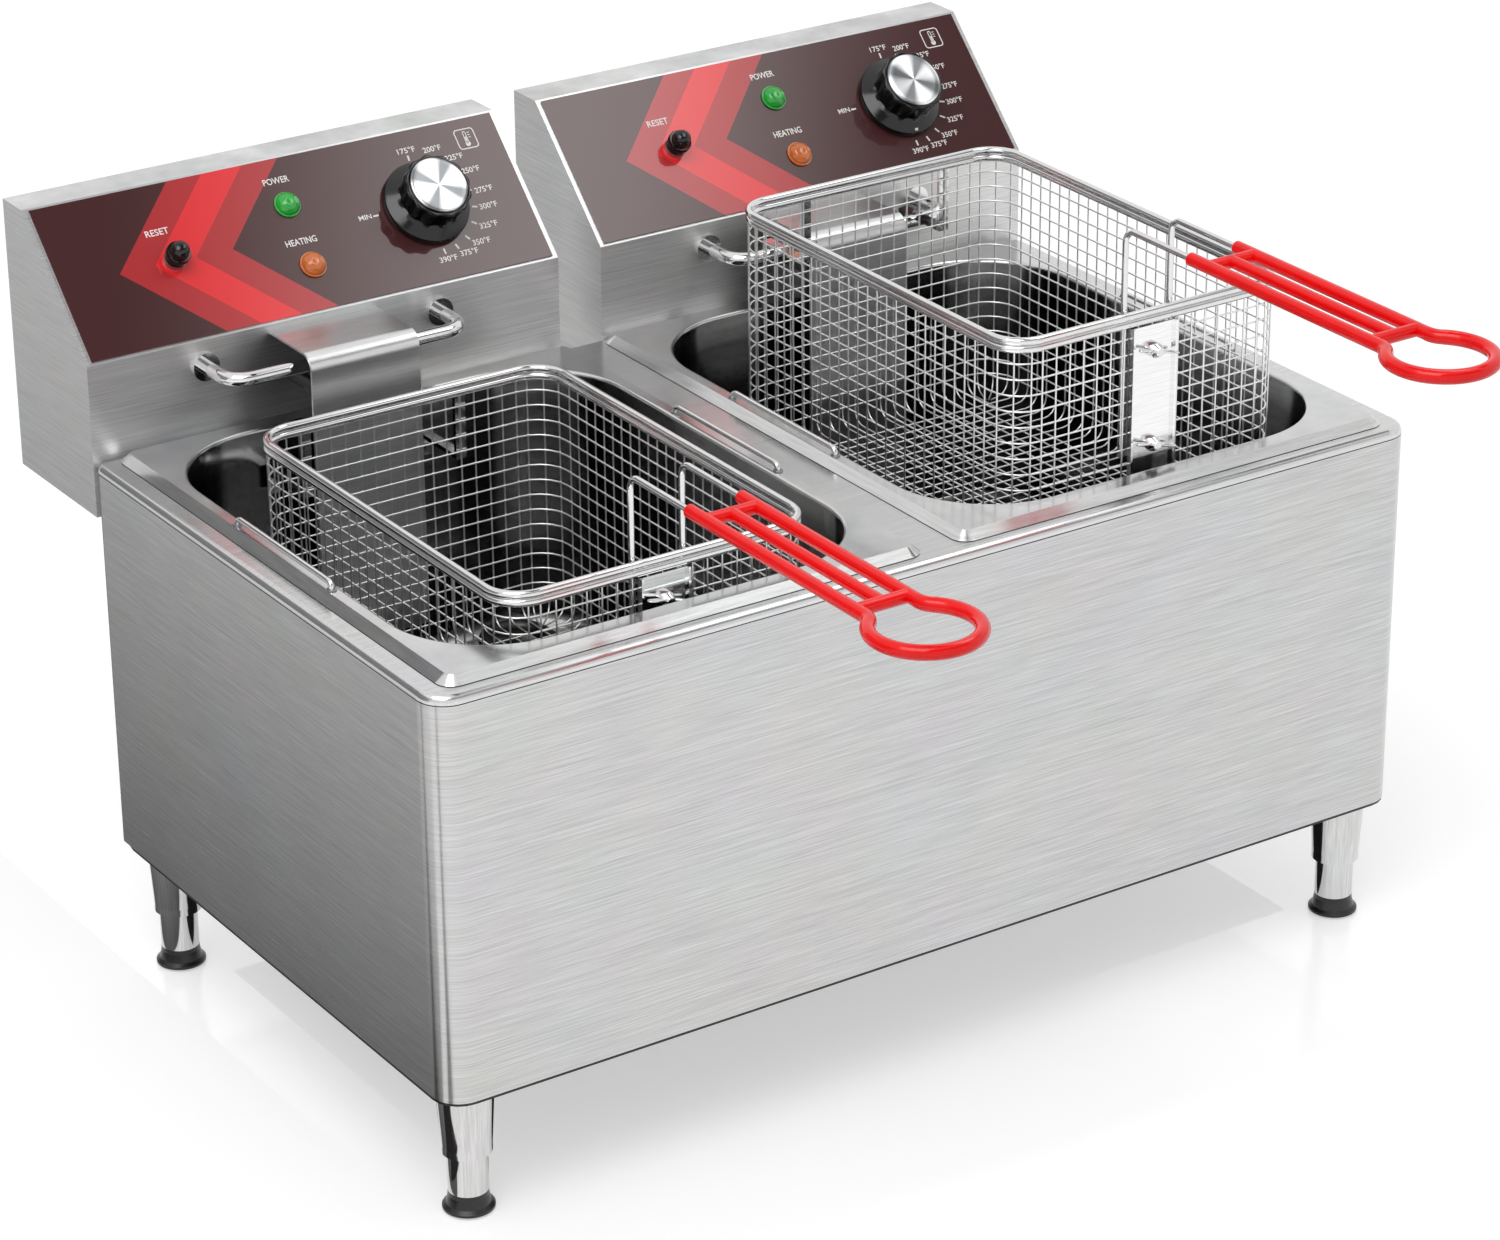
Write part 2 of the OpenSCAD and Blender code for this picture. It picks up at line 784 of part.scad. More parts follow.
module tank(side) {
    flat_in = flange_slope + lap;
    bottom_in = 2 * tank_floor_r;
    color("silver")
        translate([side * tank_x, tank_y, 0])
            difference() {
                union() {
                    translate([0, 0, foot_z])
                        ring_sweep(tank_w, tank_d, flange_r)
                            flange_border();
                    ring_sweep(open_w, open_d, opening_r)
                        wall_section();
                    translate([0, 0, rim_z - tank_t])
                        linear_extrude(height = tank_t)
                            difference() {
                                round_rect(tank_w - 2 * flat_in, tank_d - 2 * flat_in, flange_r - flat_in);
                                round_rect(open_w + 2 * lip_r, open_d + 2 * lip_r, opening_r + lip_r);
                            }
                    translate([0, 0, tank_in_z - tank_t])
                        linear_extrude(height = tank_t)
                            round_rect(open_w - bottom_in, open_d - bottom_in, opening_r - tank_floor_r);
                }
                translate([0, 0, rim_z - pull_h])
                    at_pull_holes()
                        cylinder(h = 2 * pull_h, r = pull_wire / 2 + pull_fit + eyelet_wall / 2);
            }
}

module eyelets(side) {
    bore = pull_wire / 2 + pull_fit;
    color("dimgray")
        translate([side * tank_x, tank_y, rim_z])
            at_pull_holes()
                difference() {
                    union() {
                        translate([0, 0, -tank_t])
                            cylinder(h = tank_t + eyelet_h, r = bore + eyelet_wall / 2);
                        cylinder(h = eyelet_h, r = bore + eyelet_wall);
                    }
                    translate([0, 0, -tank_t - cut])
                        cylinder(h = tank_t + eyelet_h + 2 * cut, r = bore);
                }
}

// Wire handle of a pan, drawn at the side given by hand
module pull_handle(side, hand) {
    tip_z = rim_z - tank_t - pull_travel - pull_wire;
    top_z = rim_z + pull_h;
    reach = pull_len / 2;
    color("whitesmoke")
        translate([side * tank_x + hand * pull_x, tank_y, 0]) {
            translate([0, reach - pull_bend, top_z])
                rotate([90, 0, 0])
                    bar(pull_len - 2 * pull_bend, pull_wire);
            for (s = [-1, 1]) {
                translate([0, s * reach, tip_z])
                    bar(top_z - pull_bend - tip_z, pull_wire);
                translate([0, s * (reach - pull_bend), top_z - pull_bend])
                    rotate([0, 0, s > 0 ? 90 : -90])
                        rotate([90, 0, 0])
                            bend(pull_bend, pull_wire, 90);
                translate([0, s * reach, tip_z])
                    rotate([s > 0 ? 90 : -90, 0, 0])
                        bar(pull_tip, pull_wire);
                translate([0, s * reach, tip_z])
                    sphere(d = pull_wire);
            }
        }
}

// ---------- baskets ----------
// A basket is drawn with the top of its rim on z = 0 and its middle on the origin.

module at_basket(side, rim_top) {
    translate([side * tank_x, basket_y, rim_top])
        children();
}

// Section of the mesh wall, outer face on x = 0
module mesh_section() {
    low = -basket_h + mesh_r;
    translate([-mesh_t, low])
        square([mesh_t, mesh_top - low]);
    translate([-mesh_r, low])
        quarter_ring(mesh_r, mesh_r - mesh_t, 1, -1);
    translate([-mesh_r - lap, -basket_h])
        square([lap, mesh_t]);
}

// Number of openings over a length
function cells(len) = min(12, max(1, round((len + mesh_rib) / (mesh_cell + mesh_rib))));

// Grid of openings that fills w by h from the origin
module cell_grid(w, h) {
    cw = (w + mesh_rib) / cells(w);
    ch = (h + mesh_rib) / cells(h);
    for (i = [0 : cells(w) - 1])
        for (k = [0 : cells(h) - 1])
            translate([i * cw, k * ch])
                square([cw - mesh_rib, ch - mesh_rib]);
}

// Openings in the walls, the round corners and the floor of the mesh
module mesh_cells(w, d, r) {
    low = -basket_h + mesh_r + mesh_rib;
    high = mesh_top - mesh_rib - low;
    long_w = d - 2 * r - mesh_rib;
    bare = plate_w / 2 + mesh_rib;
    short_w = (w - mesh_rib) / 2 - r - bare;
    corner_w = r - 2 * mesh_rib;
    edge = mesh_r + (r - mesh_r) / 2;
    yz_prism(w + 2 * cut)
        translate([-long_w / 2, low])
            cell_grid(long_w, high);
    for (x = [bare, -bare - short_w])
        translate([x, d / 2 + cut, low])
            rotate([90, 0, 0])
                linear_extrude(height = d + 2 * cut)
                    cell_grid(short_w, high);
    for (sx = [-1, 1])
        for (sy = [-1, 1])
            translate([sx * (w / 2 - r), sy * (d / 2 - r), 0])
                rotate([0, 0, atan2(sy, sx)])
                    translate([r, 0, 0])
                        yz_prism(r)
                            translate([-corner_w / 2, low])
                                cell_grid(corner_w, high);
    translate([edge - w / 2, edge - d / 2, -basket_h - cut])
        linear_extrude(height = mesh_t + 2 * cut)
            cell_grid(w - 2 * edge, d - 2 * edge);
}

module basket_mesh(side, rim_top) {
    w = basket_w - 2 * mesh_inset;
    d = basket_d - 2 * mesh_inset;
    r = basket_r - mesh_inset;
    color("lightgray")
        at_basket(side, rim_top)
            difference() {
                union() {
                    ring_sweep(w, d, r)
                        mesh_section();
                    translate([0, 0, -basket_h])
                        linear_extrude(height = mesh_t)
                            round_rect(w - 2 * mesh_r, d - 2 * mesh_r, r - mesh_r);
                }
                mesh_cells(w, d, r);
                for (i = [0, 1])
                    translate([0, mesh_y0 + mesh_t / 2, -bolt_top - i * bolt_pitch])
                        rotate([90, 0, 0])
                            cylinder(h = 2 * mesh_t, d = bolt_d + 2 * hole_fit, center = true);
            }
}

// Rim of two welded rods with the two rear hooks; rod_off is the hanger rod's place
module basket_rim(side, rim_top, rod_off) {
    arm_y = basket_d / 2 - mesh_inset;
    tip_y = rod_y + rod_d / 2 + hook_gap + hook_t - basket_y;
    color("gainsboro")
        at_basket(side, rim_top) {
            ring_sweep(basket_w, basket_d, basket_r) {
                for (i = [0, 1])
                    translate([-rim_wire / 2, -rim_wire / 2 - i * (rim_wire - rim_weld)])
                        circle(d = rim_wire);
            }
            for (s = [-1, 1])
                translate([rod_off + s * hook_off, 0, 0])
                    yz_prism(hook_w) {
                        translate([arm_y, -hook_drop])
                            square([hook_t, hook_drop - rim_wire / 2]);
                        translate([arm_y, -hook_drop])
                            square([tip_y - arm_y, hook_t]);
                        translate([tip_y - hook_t, -hook_drop - hook_tip])
                            square([hook_t, hook_tip + hook_t]);
                    }
        }
}

// Front plate with its folded side edges, held by the wing bolts
module basket_plate(side, rim_top) {
    back_y = mesh_y0 - plate_gap;
    color("whitesmoke")
        at_basket(side, rim_top)
            difference() {
                translate([0, back_y, mesh_top - plate_gap - plate_h])
                    rotate([0, 0, 180])
                        linear_extrude(height = plate_h) {
                            translate([-plate_w / 2, 0])
                                square([plate_w, plate_t]);
                            for (s = [-1, 1])
                                translate([s * (plate_w - plate_t) / 2 - plate_t / 2, 0])
                                    square([plate_t, plate_fold]);
                        }
                for (i = [0, 1])
                    translate([0, back_y, -bolt_top - i * bolt_pitch])
                        rotate([90, 0, 0])
                            cylinder(h = 2 * plate_fold, d = bolt_d + 2 * hole_fit, center = true);
            }
}

// Wing bolts through the plate, the mesh and the clamp strip of the handle
module basket_bolts(side, rim_top) {
    face_y = mesh_y0 - plate_gap - plate_t;
    end_y = handle_y + clamp_t;
    color("silver")
        at_basket(side, rim_top)
            for (i = [0, 1])
                translate([0, 0, -bolt_top - i * bolt_pitch]) {
                    translate([0, end_y, 0])
                        rotate([90, 0, 0])
                            cylinder(h = end_y - face_y, d = bolt_d);
                    translate([0, face_y, 0])
                        rotate([90, 0, 0])
                            cylinder(h = bolt_hub_h, d = bolt_hub_d);
                    translate([0, face_y - bolt_hub_h, -bolt_wing_t / 2])
                        linear_extrude(height = bolt_wing_t)
                            for (s = [-1, 1])
                                translate([s * (bolt_span / 2 - bolt_hub_h / 2), 0]) {
                                    circle(d = bolt_hub_h);
                                    translate([s > 0 ? bolt_hub_h / 2 - bolt_span / 2 : 0, -bolt_hub_h / 2])
                                        square([bolt_span / 2 - bolt_hub_h / 2, bolt_hub_h]);
                                }
                }
}

// Bare wires of the handle: two legs behind the rim and the runs into the coating
module handle_wires(side, rim_top) {
    bare = grip_start + wire_in;
    reach = handle_pitch / 2;
    color("whitesmoke")
        at_basket(side, rim_top) {
            for (s = [-1, 1])
                translate([s * reach, handle_y, 0]) {
                    translate([0, 0, -leg_drop])
                        bar(leg_drop + handle_rise - handle_bend, handle_wire);
                    translate([0, -handle_bend, handle_rise - handle_bend])
                        rotate([0, 0, 90])
                            rotate([90, 0, 0])
                                bend(handle_bend, handle_wire, 90);
                    translate([0, -handle_bend, handle_rise])
                        rotate([90, 0, 0])
                            bar(bare - handle_bend, handle_wire);
                }
            difference() {
                translate([-reach, handle_y - clamp_t / 2, -leg_drop])
                    cube([handle_pitch, clamp_t, leg_drop + mesh_top]);
                for (i = [0, 1])
                    translate([0, handle_y, -bolt_top - i * bolt_pitch])
                        rotate([90, 0, 0])
                            cylinder(h = 2 * clamp_t, d = bolt_d + 2 * hole_fit, center = true);
            }
        }
}

// Coated part of the handle: two wires, two cross bars, a middle bar and the end loop.
// The coating is a little thicker on the flares and thickest on the loop.
module handle_grip(side, rim_top) {
    reach = handle_pitch / 2;
    flare_d = grip_d + 2 * grip_bead;
    loop_d = flare_d + 2 * grip_bead;
    bar_d = grip_d - 2 * grip_bead;
    mid_d = bar_d - 2 * grip_bead;
    into = lap / 2;
    more_a = into / flare_r * 180 / PI;
    color("crimson")
        at_basket(side, rim_top)
            translate([0, handle_y, handle_rise])
                difference() {
                    union() {
                        for (s = [-1, 1]) {
                            translate([s * reach, -grip_start, 0])
                                rotate([90, 0, 0])
                                    bar(bar_b + loop_run + into - grip_start, grip_d);
                            translate([s * loop_flare, -bar_b - loop_run, 0])
                                rotate([0, 0, s > 0 ? 180 : -loop_a - more_a])
                                    bend(flare_r, flare_d, loop_a + more_a);
                        }
                        for (y = [bar_a, bar_b])
                            translate([-reach, -y, 0])
                                rotate([0, 90, 0])
                                    bar(handle_pitch, bar_d);
                        translate([0, -bar_a, 0])
                            rotate([90, 0, 0])
                                bar(bar_b - bar_a, mid_d);
                        translate([0, -bar_b - loop_run - loop_rise, 0])
                            rotate([0, 0, 180 - loop_a])
                                bend(loop_r, loop_d, 180 + 2 * loop_a);
                    }
                    for (s = [-1, 1])
                        translate([s * reach, -grip_start + cut, 0])
                            rotate([90, 0, 0])
                                bar(wire_in + cut, handle_wire);
                }
}

// ---------- control heads ----------

module at_head(side) {
    translate([side * head_x, 0, 0])
        children();
}

// Side outline of a head, its lower front corner on the origin
module head_outline() {
    run_y = slope_len * cos(slope_a);
    polygon([[0, 0], [0, head_front_h], [run_y, head_h], [head_d, head_h], [head_d, 0]]);
}

// Inside of a head, left open at the rear
module head_hollow() {
    low_z = head_front_h - head_t * (1 - sin(slope_a)) / cos(slope_a);
    top_y = (head_h - head_t - head_front_h) / tan(slope_a) + head_t / sin(slope_a);
    polygon([
        [head_t, head_t], [head_t, low_z], [top_y, head_h - head_t],
        [head_d + cut, head_h - head_t], [head_d + cut, head_t]
    ]);
}

// Holes of the control face, cut along its normal
module control_holes(depth) {
    translate([0, 0, -depth / 2]) {
        translate([knob_x, knob_s, 0])
            cylinder(h = depth, d = spindle_hole_d);
        translate([reset_x, reset_s, 0])
            cylinder(h = depth, d = bush_hole_d);
        for (s = [power_s, heating_s])
            translate([lamp_x, s, 0])
                cylinder(h = depth, d = stem_hole_d);
    }
}

module head_shell(side, rod_off) {
    color("silver")
        at_head(side)
            difference() {
                translate([0, head_y, head_z])
                    yz_prism(head_w)
                        head_outline();
                translate([0, head_y, head_z])
                    yz_prism(head_w - 2 * head_t)
                        head_hollow();
                on_slope(0, 0)
                    control_holes(4 * head_t);
                for (s = [-1, 1]) {
                    translate([rod_off + s * tube_leg_x, head_y + head_t / 2, leg_z])
                        rotate([90, 0, 0])
                            cylinder(h = 2 * head_t, d = tube_d + 2 * hole_fit, center = true);
                    translate([rod_off + s * bulb_x, head_y + head_t / 2, leg_z + cap_tube_up])
                        rotate([90, 0, 0])
                            cylinder(h = 2 * head_t, d = cap_tube_d + 2 * hole_fit, center = true);
                }
            }
}

module head_back(side) {
    color("gray")
        at_head(side)
            difference() {
                translate([-head_w / 2 + head_t, head_y + head_d - head_t, head_z + head_t])
                    cube([head_w - 2 * head_t, head_t, head_h - 2 * head_t]);
                translate([gland_x, head_y + head_d, head_z + gland_z])
                    rotate([90, 0, 0])
                        cylinder(h = 4 * head_t, d = gland_bore + 2 * gland_wall, center = true);
            }
}

module control_panel(side) {
    color("saddlebrown")
        at_head(side)
            on_slope(0, 0)
                difference() {
                    translate([-panel_w / 2, panel_edge, 0])
                        cube([panel_w, panel_s, panel_t]);
                    control_holes(4 * panel_t);
                }
}

// Lamp with its body behind the panel and a domed lens on a bezel
module lamp(side, s, tint) {
    dome_h = lamp_h - bezel_h;
    dome_r = (pow(lamp_d / 2, 2) + pow(dome_h, 2)) / (2 * dome_h);
    color(tint)
        at_head(side)
            on_slope(lamp_x, s) {
                translate([0, 0, -lamp_stem])
                    cylinder(h = lamp_stem + panel_t, d = lamp_stem_d);
                translate([0, 0, panel_t])
                    cylinder(h = bezel_h, d = lamp_d);
                translate([0, 0, panel_t + bezel_h])
                    intersection() {
                        translate([0, 0, dome_h - dome_r])
                            sphere(r = dome_r);
                        cylinder(h = lamp_h, d = lamp_d - 2 * bezel_w);
                    }
            }
}

// Outline of the grip with its flutes
module fluted_disc() {
    difference() {
        circle(d = knob_grip_d);
        for (i = [0 : flutes - 1])
            rotate([0, 0, i * 360 / flutes])
                translate([knob_grip_d / 2 + flute_r - flute_depth, 0])
                    circle(r = flute_r);
    }
}

// Fluted black grip with its skirt and a blind bore for the spindle
module dial_knob(side) {
    color("black")
        at_head(side)
            on_slope(knob_x, knob_s)
                translate([0, 0, panel_t + knob_gap])
                    difference() {
                        union() {
                            cylinder(h = knob_skirt_h, d = knob_d);
                            translate([0, 0, knob_skirt_h])
                                cylinder(h = knob_shoulder_h, d1 = knob_d, d2 = knob_grip_d);
                            linear_extrude(height = knob_h)
                                fluted_disc();
                        }
                        translate([0, 0, knob_h - cap_seat])
                            cylinder(h = knob_h, d = cap_d);
                        translate([0, 0, -cut])
                            cylinder(h = spindle_in + cut, r = spindle_d / 2 + run_fit);
                    }
}

module knob_cap(side) {
    color("silver")
        at_head(side)
            on_slope(knob_x, knob_s)
                translate([0, 0, panel_t + knob_gap + knob_h - cap_seat])
                    cylinder(h = cap_seat + cap_h, d = cap_d);
}

// Push button of the over-temperature cut-out
module reset_button(side) {
    seat = panel_t + nut_h + reset_travel + reset_end;
    color("black")
        at_head(side)
            on_slope(reset_x, reset_s) {
                translate([0, 0, -reset_in])
                    cylinder(h = seat + reset_in, d = reset_stem_d);
                translate([0, 0, seat])
                    cylinder(h = reset_skirt_h, d = reset_d);
                translate([0, 0, seat])
                    cylinder(h = reset_h - reset_neck_d / 2, d = reset_neck_d);
                translate([0, 0, seat + reset_h - reset_neck_d / 2])
                    intersection() {
                        sphere(d = reset_neck_d);
                        cylinder(h = reset_neck_d, d = reset_neck_d);
                    }
            }
}

// Chrome rod on two flanges; a raised basket hangs from it
module hanger_rod(side, rod_off) {
    color("whitesmoke")
        translate([side * head_x + rod_off, 0, rod_z]) {
            translate([-rod_span / 2 + rod_bend, rod_y, 0])
                rotate([0, 90, 0])
                    bar(rod_span - 2 * rod_bend, rod_d);
            for (s = [-1, 1])
                translate([s * rod_span / 2, 0, 0]) {
                    translate([0, head_y, 0])
                        rotate([90, 0, 0]) {
                            bar(rod_reach - rod_bend, rod_d);
                            cylinder(h = rod_flange_t, d = rod_flange_d);
                        }
                    translate([-s * rod_bend, rod_y + rod_bend, 0])
                        rotate([0, 0, s > 0 ? -90 : 180])
                            bend(rod_bend, rod_d, 90);
                }
        }
}

// Bent sheet that shields the upright part of the element
module element_guard(side, rod_off) {
    top_z = edge_z - guard_drop;
    low_z = tube_z + tube_d / 2 + guard_low;
    color("lightgray")
        translate([side * head_x + rod_off, 0, 0])
            yz_prism(guard_w) {
                translate([guard_y + guard_r, top_z - guard_t])
                    square([head_y - guard_y - guard_r, guard_t]);
                translate([guard_y + guard_r, top_z - guard_r])
                    quarter_ring(guard_r, guard_r - guard_t, -1, 1);
                translate([guard_y, low_z])
                    square([guard_t, top_z - guard_r - low_z]);
            }
}

// Heating element: two upright legs behind the guard and three runs to each side of them
module heating_element(side, rod_off) {
    front = open_y0 + loop_front;
    turn_y = front + 3 * turn_r;
    corner_y = front + turn_r;
    rear_y = open_y1 - loop_rear - turn_r;
    color("dimgray")
        translate([side * head_x + rod_off, 0, 0]) {
            for (s = [-1, 1]) {
                translate([s * tube_leg_x, head_y + tube_in, leg_z])
                    rotate([90, 0, 0])
                        bar(head_y + tube_in - leg_y - tube_bend, tube_d);
                translate([s * tube_leg_x, leg_y + tube_bend, leg_z - tube_bend])
                    rotate([90, 0, -90])
                        bend(tube_bend, tube_d, 90);
                translate([s * tube_leg_x, leg_y, tube_z + tube_bend])
                    bar(leg_z - tube_z - 2 * tube_bend, tube_d);
                translate([s * tube_leg_x, leg_y - tube_bend, tube_z + tube_bend])
                    rotate([90, 0, 90])
                        rotate([0, 0, -90])
                            bend(tube_bend, tube_d, 90);
                translate([s * tube_leg_x, leg_y - tube_bend, tube_z])
                    rotate([90, 0, 0])
                        bar(leg_y - tube_bend - turn_y, tube_d);
                translate([s * (tube_leg_x + turn_r), turn_y, tube_z])
                    rotate([0, 0, 180])
                        bend(turn_r, tube_d, 180);
                translate([s * (tube_leg_x + 2 * turn_r), rear_y, tube_z])
                    rotate([90, 0, 0])
                        bar(rear_y - turn_y, tube_d);
                translate([s * (tube_leg_x + 3 * turn_r), rear_y, tube_z])
                    bend(turn_r, tube_d, 180);
                translate([s * (tube_leg_x + 4 * turn_r), rear_y, tube_z])
                    rotate([90, 0, 0])
                        bar(rear_y - corner_y, tube_d);
                translate([s * (tube_leg_x + 3 * turn_r), corner_y, tube_z])
                    rotate([0, 0, s > 0 ? -90 : 180])
                        bend(turn_r, tube_d, 90);
            }
            translate([-tube_leg_x - 3 * turn_r, front, tube_z])
                rotate([0, 90, 0])
                    bar(2 * (tube_leg_x + 3 * turn_r), tube_d);
        }
}

// Straight round piece between two points
module segment(a, b, d) {
    v = b - a;
    translate(a)
        rotate([0, acos(v.z / norm(v)), atan2(v.y, v.x)])
            cylinder(h = norm(v), d = d);
}

// Thin tube through a list of points
module thin_tube(points, d) {
    for (i = [0 : len(points) - 2])
        segment(points[i], points[i + 1], d);
    for (i = [1 : len(points) - 2])
        translate(points[i])
            sphere(d = d);
}

// Bulb behind the guard and its capillary, led to the housing at house_x, house_s
module bulb_line(gx, house_x, house_s) {
    low = head_t + stat_h;
    house_y = head_y + house_s * cos(slope_a) + low * sin(slope_a);
    house_z = edge_z + house_s * sin(slope_a) - low * cos(slope_a);
    cap_z = leg_z + cap_tube_up;
    bulb_z = tube_z + bulb_lift;
    translate([gx, leg_y, bulb_z])
        cylinder(h = bulb_len, d = bulb_d);
    thin_tube([
        [gx, leg_y, bulb_z + bulb_len], [gx, leg_y, cap_z], [gx, house_y, cap_z],
        [house_x, house_y, cap_z], [house_x, house_y, house_z]
    ], cap_tube_d);
}

// Control thermostat with its spindle, and the over-temperature cut-out with its bush
module thermostats(side, rod_off) {
    bore_z = head_t + reset_in + reset_travel + reset_end;
    color("slategray")
        at_head(side) {
            on_slope(knob_x, knob_s) {
                translate([-stat_w / 2, -stat_w / 2, -head_t - stat_h])
                    cube([stat_w, stat_w, stat_h]);
                translate([0, 0, -head_t - cut])
                    cylinder(h = head_t + cut + panel_t + knob_gap + spindle_in - spindle_end, d = spindle_d);
            }
            on_slope(reset_x, reset_s)
                difference() {
                    union() {
                        translate([0, 0, -head_t - stat_h])
                            cylinder(h = stat_h, d = limit_d);
                        translate([0, 0, -head_t])
                            cylinder(h = head_t + panel_t + nut_h, d = bush_d);
                        translate([0, 0, panel_t])
                            cylinder(h = nut_h, d = nut_d);
                    }
                    translate([0, 0, -bore_z])
                        cylinder(h = bore_z + panel_t + nut_h + cut, r = reset_stem_d / 2 + run_fit);
                }
            bulb_line(rod_off + bulb_x, knob_x, knob_s);
            bulb_line(rod_off - bulb_x, reset_x, reset_s);
        }
}

// Cable gland in the rear cover and the terminal block behind it
module inlet(side) {
    neck = gland_bore + 2 * gland_wall;
    color("black")
        at_head(side) {
            translate([gland_x, head_y + head_d, head_z + gland_z])
                difference() {
                    union() {
                        translate([0, gland_len, 0])
                            rotate([90, 0, 0])
                                cylinder(h = gland_len, d = gland_d);
                        rotate([90, 0, 0])
                            cylinder(h = head_t, d = neck);
                        translate([0, -head_t, 0])
                            rotate([90, 0, 0])
                                cylinder(h = gland_wall, d = gland_d);
                    }
                    translate([0, gland_len + cut, 0])
                        rotate([90, 0, 0])
                            cylinder(h = gland_len + head_t + gland_wall + 2 * cut, d = gland_bore);
                }
            translate([block_x - block_l / 2, head_y + (head_d - block_d) / 2, head_z + head_t])
                cube([block_l, block_d, block_h]);
        }
}

// ---------- the named parts ----------

module leg_tube_fl() {
    placed()
        leg_tube(-1, -1);
}

module leg_tube_fr() {
    placed()
        leg_tube(1, -1);
}

module leg_tube_bl() {
    placed()
        leg_tube(-1, 1);
}

module leg_tube_br() {
    placed()
        leg_tube(1, 1);
}

module foot_pad_fl() {
    placed()
        foot_pad(-1, -1);
}

module foot_pad_fr() {
    placed()
        foot_pad(1, -1);
}

module foot_pad_bl() {
    placed()
        foot_pad(-1, 1);
}

module foot_pad_br() {
    placed()
        foot_pad(1, 1);
}

module left_tank() {
    placed()
        tank(left);
}

module left_eyelets() {
    placed()
        eyelets(left);
}

module left_pull_outer() {
    placed()
        pull_handle(left, left);
}

module left_pull_inner() {
    placed()
        pull_handle(left, -left);
}

module left_basket_mesh() {
    placed()
        basket_mesh(left, low_basket_z);
}

module left_basket_rim() {
    placed()
        basket_rim(left, low_basket_z, left_hang);
}

module left_basket_plate() {
    placed()
        basket_plate(left, low_basket_z);
}

module left_basket_bolts() {
    placed()
        basket_bolts(left, low_basket_z);
}

module left_handle_wires() {
    placed()
        handle_wires(left, low_basket_z);
}

module left_handle_grip() {
    placed()
        handle_grip(left, low_basket_z);
}

module left_head_shell() {
    placed()
        head_shell(left, left_rod_x);
}

module left_head_back() {
    placed()
        head_back(left);
}

module left_panel() {
    placed()
        control_panel(left);
}

module left_knob() {
    placed()
        dial_knob(left);
}

module left_knob_cap() {
    placed()
        knob_cap(left);
}

module left_reset() {
    placed()
        reset_button(left);
}

module left_power_lamp() {
    placed()
        lamp(left, power_s, "limegreen");
}

module left_heating_lamp() {
    placed()
        lamp(left, heating_s, "orange");
}

module left_hanger_rod() {
    placed()
        hanger_rod(left, left_rod_x);
}

module left_guard() {
    placed()
        element_guard(left, left_rod_x);
}

module left_element() {
    placed()
        heating_element(left, left_rod_x);
}

module left_thermostats() {
    placed()
        thermostats(left, left_rod_x);
}

module left_inlet() {
    placed()
        inlet(left);
}

module right_tank() {
    placed()
        tank(right);
}

module right_eyelets() {
    placed()
        eyelets(right);
}

module right_pull_outer() {
    placed()
        pull_handle(right, right);
}

module right_pull_inner() {
    placed()
        pull_handle(right, -right);
}

module right_basket_mesh() {
    placed()
        basket_mesh(right, high_basket_z);
}

module right_basket_rim() {
    placed()
        basket_rim(right, high_basket_z, right_hang);
}

module right_basket_plate() {
    placed()
        basket_plate(right, high_basket_z);
}

module right_basket_bolts() {
    placed()
        basket_bolts(right, high_basket_z);
}

module right_handle_wires() {
    placed()
        handle_wires(right, high_basket_z);
}

module right_handle_grip() {
    placed()
        handle_grip(right, high_basket_z);
}

module right_head_shell() {
    placed()
        head_shell(right, right_rod_x);
}

module right_head_back() {
    placed()
        head_back(right);
}

module right_panel() {
    placed()
        control_panel(right);
}

module right_knob() {
    placed()
        dial_knob(right);
}

module right_knob_cap() {
    placed()
        knob_cap(right);
}

module right_reset() {
    placed()
        reset_button(right);
}

module right_power_lamp() {
    placed()
        lamp(right, power_s, "limegreen");
}

module right_heating_lamp() {
    placed()
        lamp(right, heating_s, "orange");
}

module right_hanger_rod() {
    placed()
        hanger_rod(right, right_rod_x);
}

module right_guard() {
    placed()
        element_guard(right, right_rod_x);
}

module right_element() {
    placed()
        heating_element(right, right_rod_x);
}

module right_thermostats() {
    placed()
        thermostats(right, right_rod_x);
}

module right_inlet() {
    placed()
        inlet(right);
}

cabinet_shell();
cabinet_back();
cabinet_deck();
base_plate();
leg_sleeves();
head_rails();
leg_tube_fl();
leg_tube_fr();
leg_tube_bl();
leg_tube_br();
foot_pad_fl();
foot_pad_fr();
foot_pad_bl();
foot_pad_br();
left_tank();
left_eyelets();
left_pull_outer();
left_pull_inner();
right_tank();
right_eyelets();
right_pull_inner();
right_pull_outer();
left_basket_mesh();
left_basket_rim();
left_basket_plate();
left_basket_bolts();
left_handle_wires();
left_handle_grip();
right_basket_mesh();
right_basket_rim();
right_basket_plate();
right_basket_bolts();
right_handle_wires();
right_handle_grip();
left_head_shell();
left_head_back();
left_panel();
left_knob();
left_knob_cap();
left_reset();
left_power_lamp();
left_heating_lamp();
left_hanger_rod();
left_guard();
left_element();
left_thermostats();
left_inlet();
right_head_shell();
right_head_back();
right_panel();
right_knob();
right_knob_cap();
right_reset();
right_power_lamp();
right_heating_lamp();
right_hanger_rod();
right_guard();
right_element();
right_thermostats();
right_inlet();
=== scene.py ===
import math

import bmesh
import bpy
from mathutils import Matrix, Vector


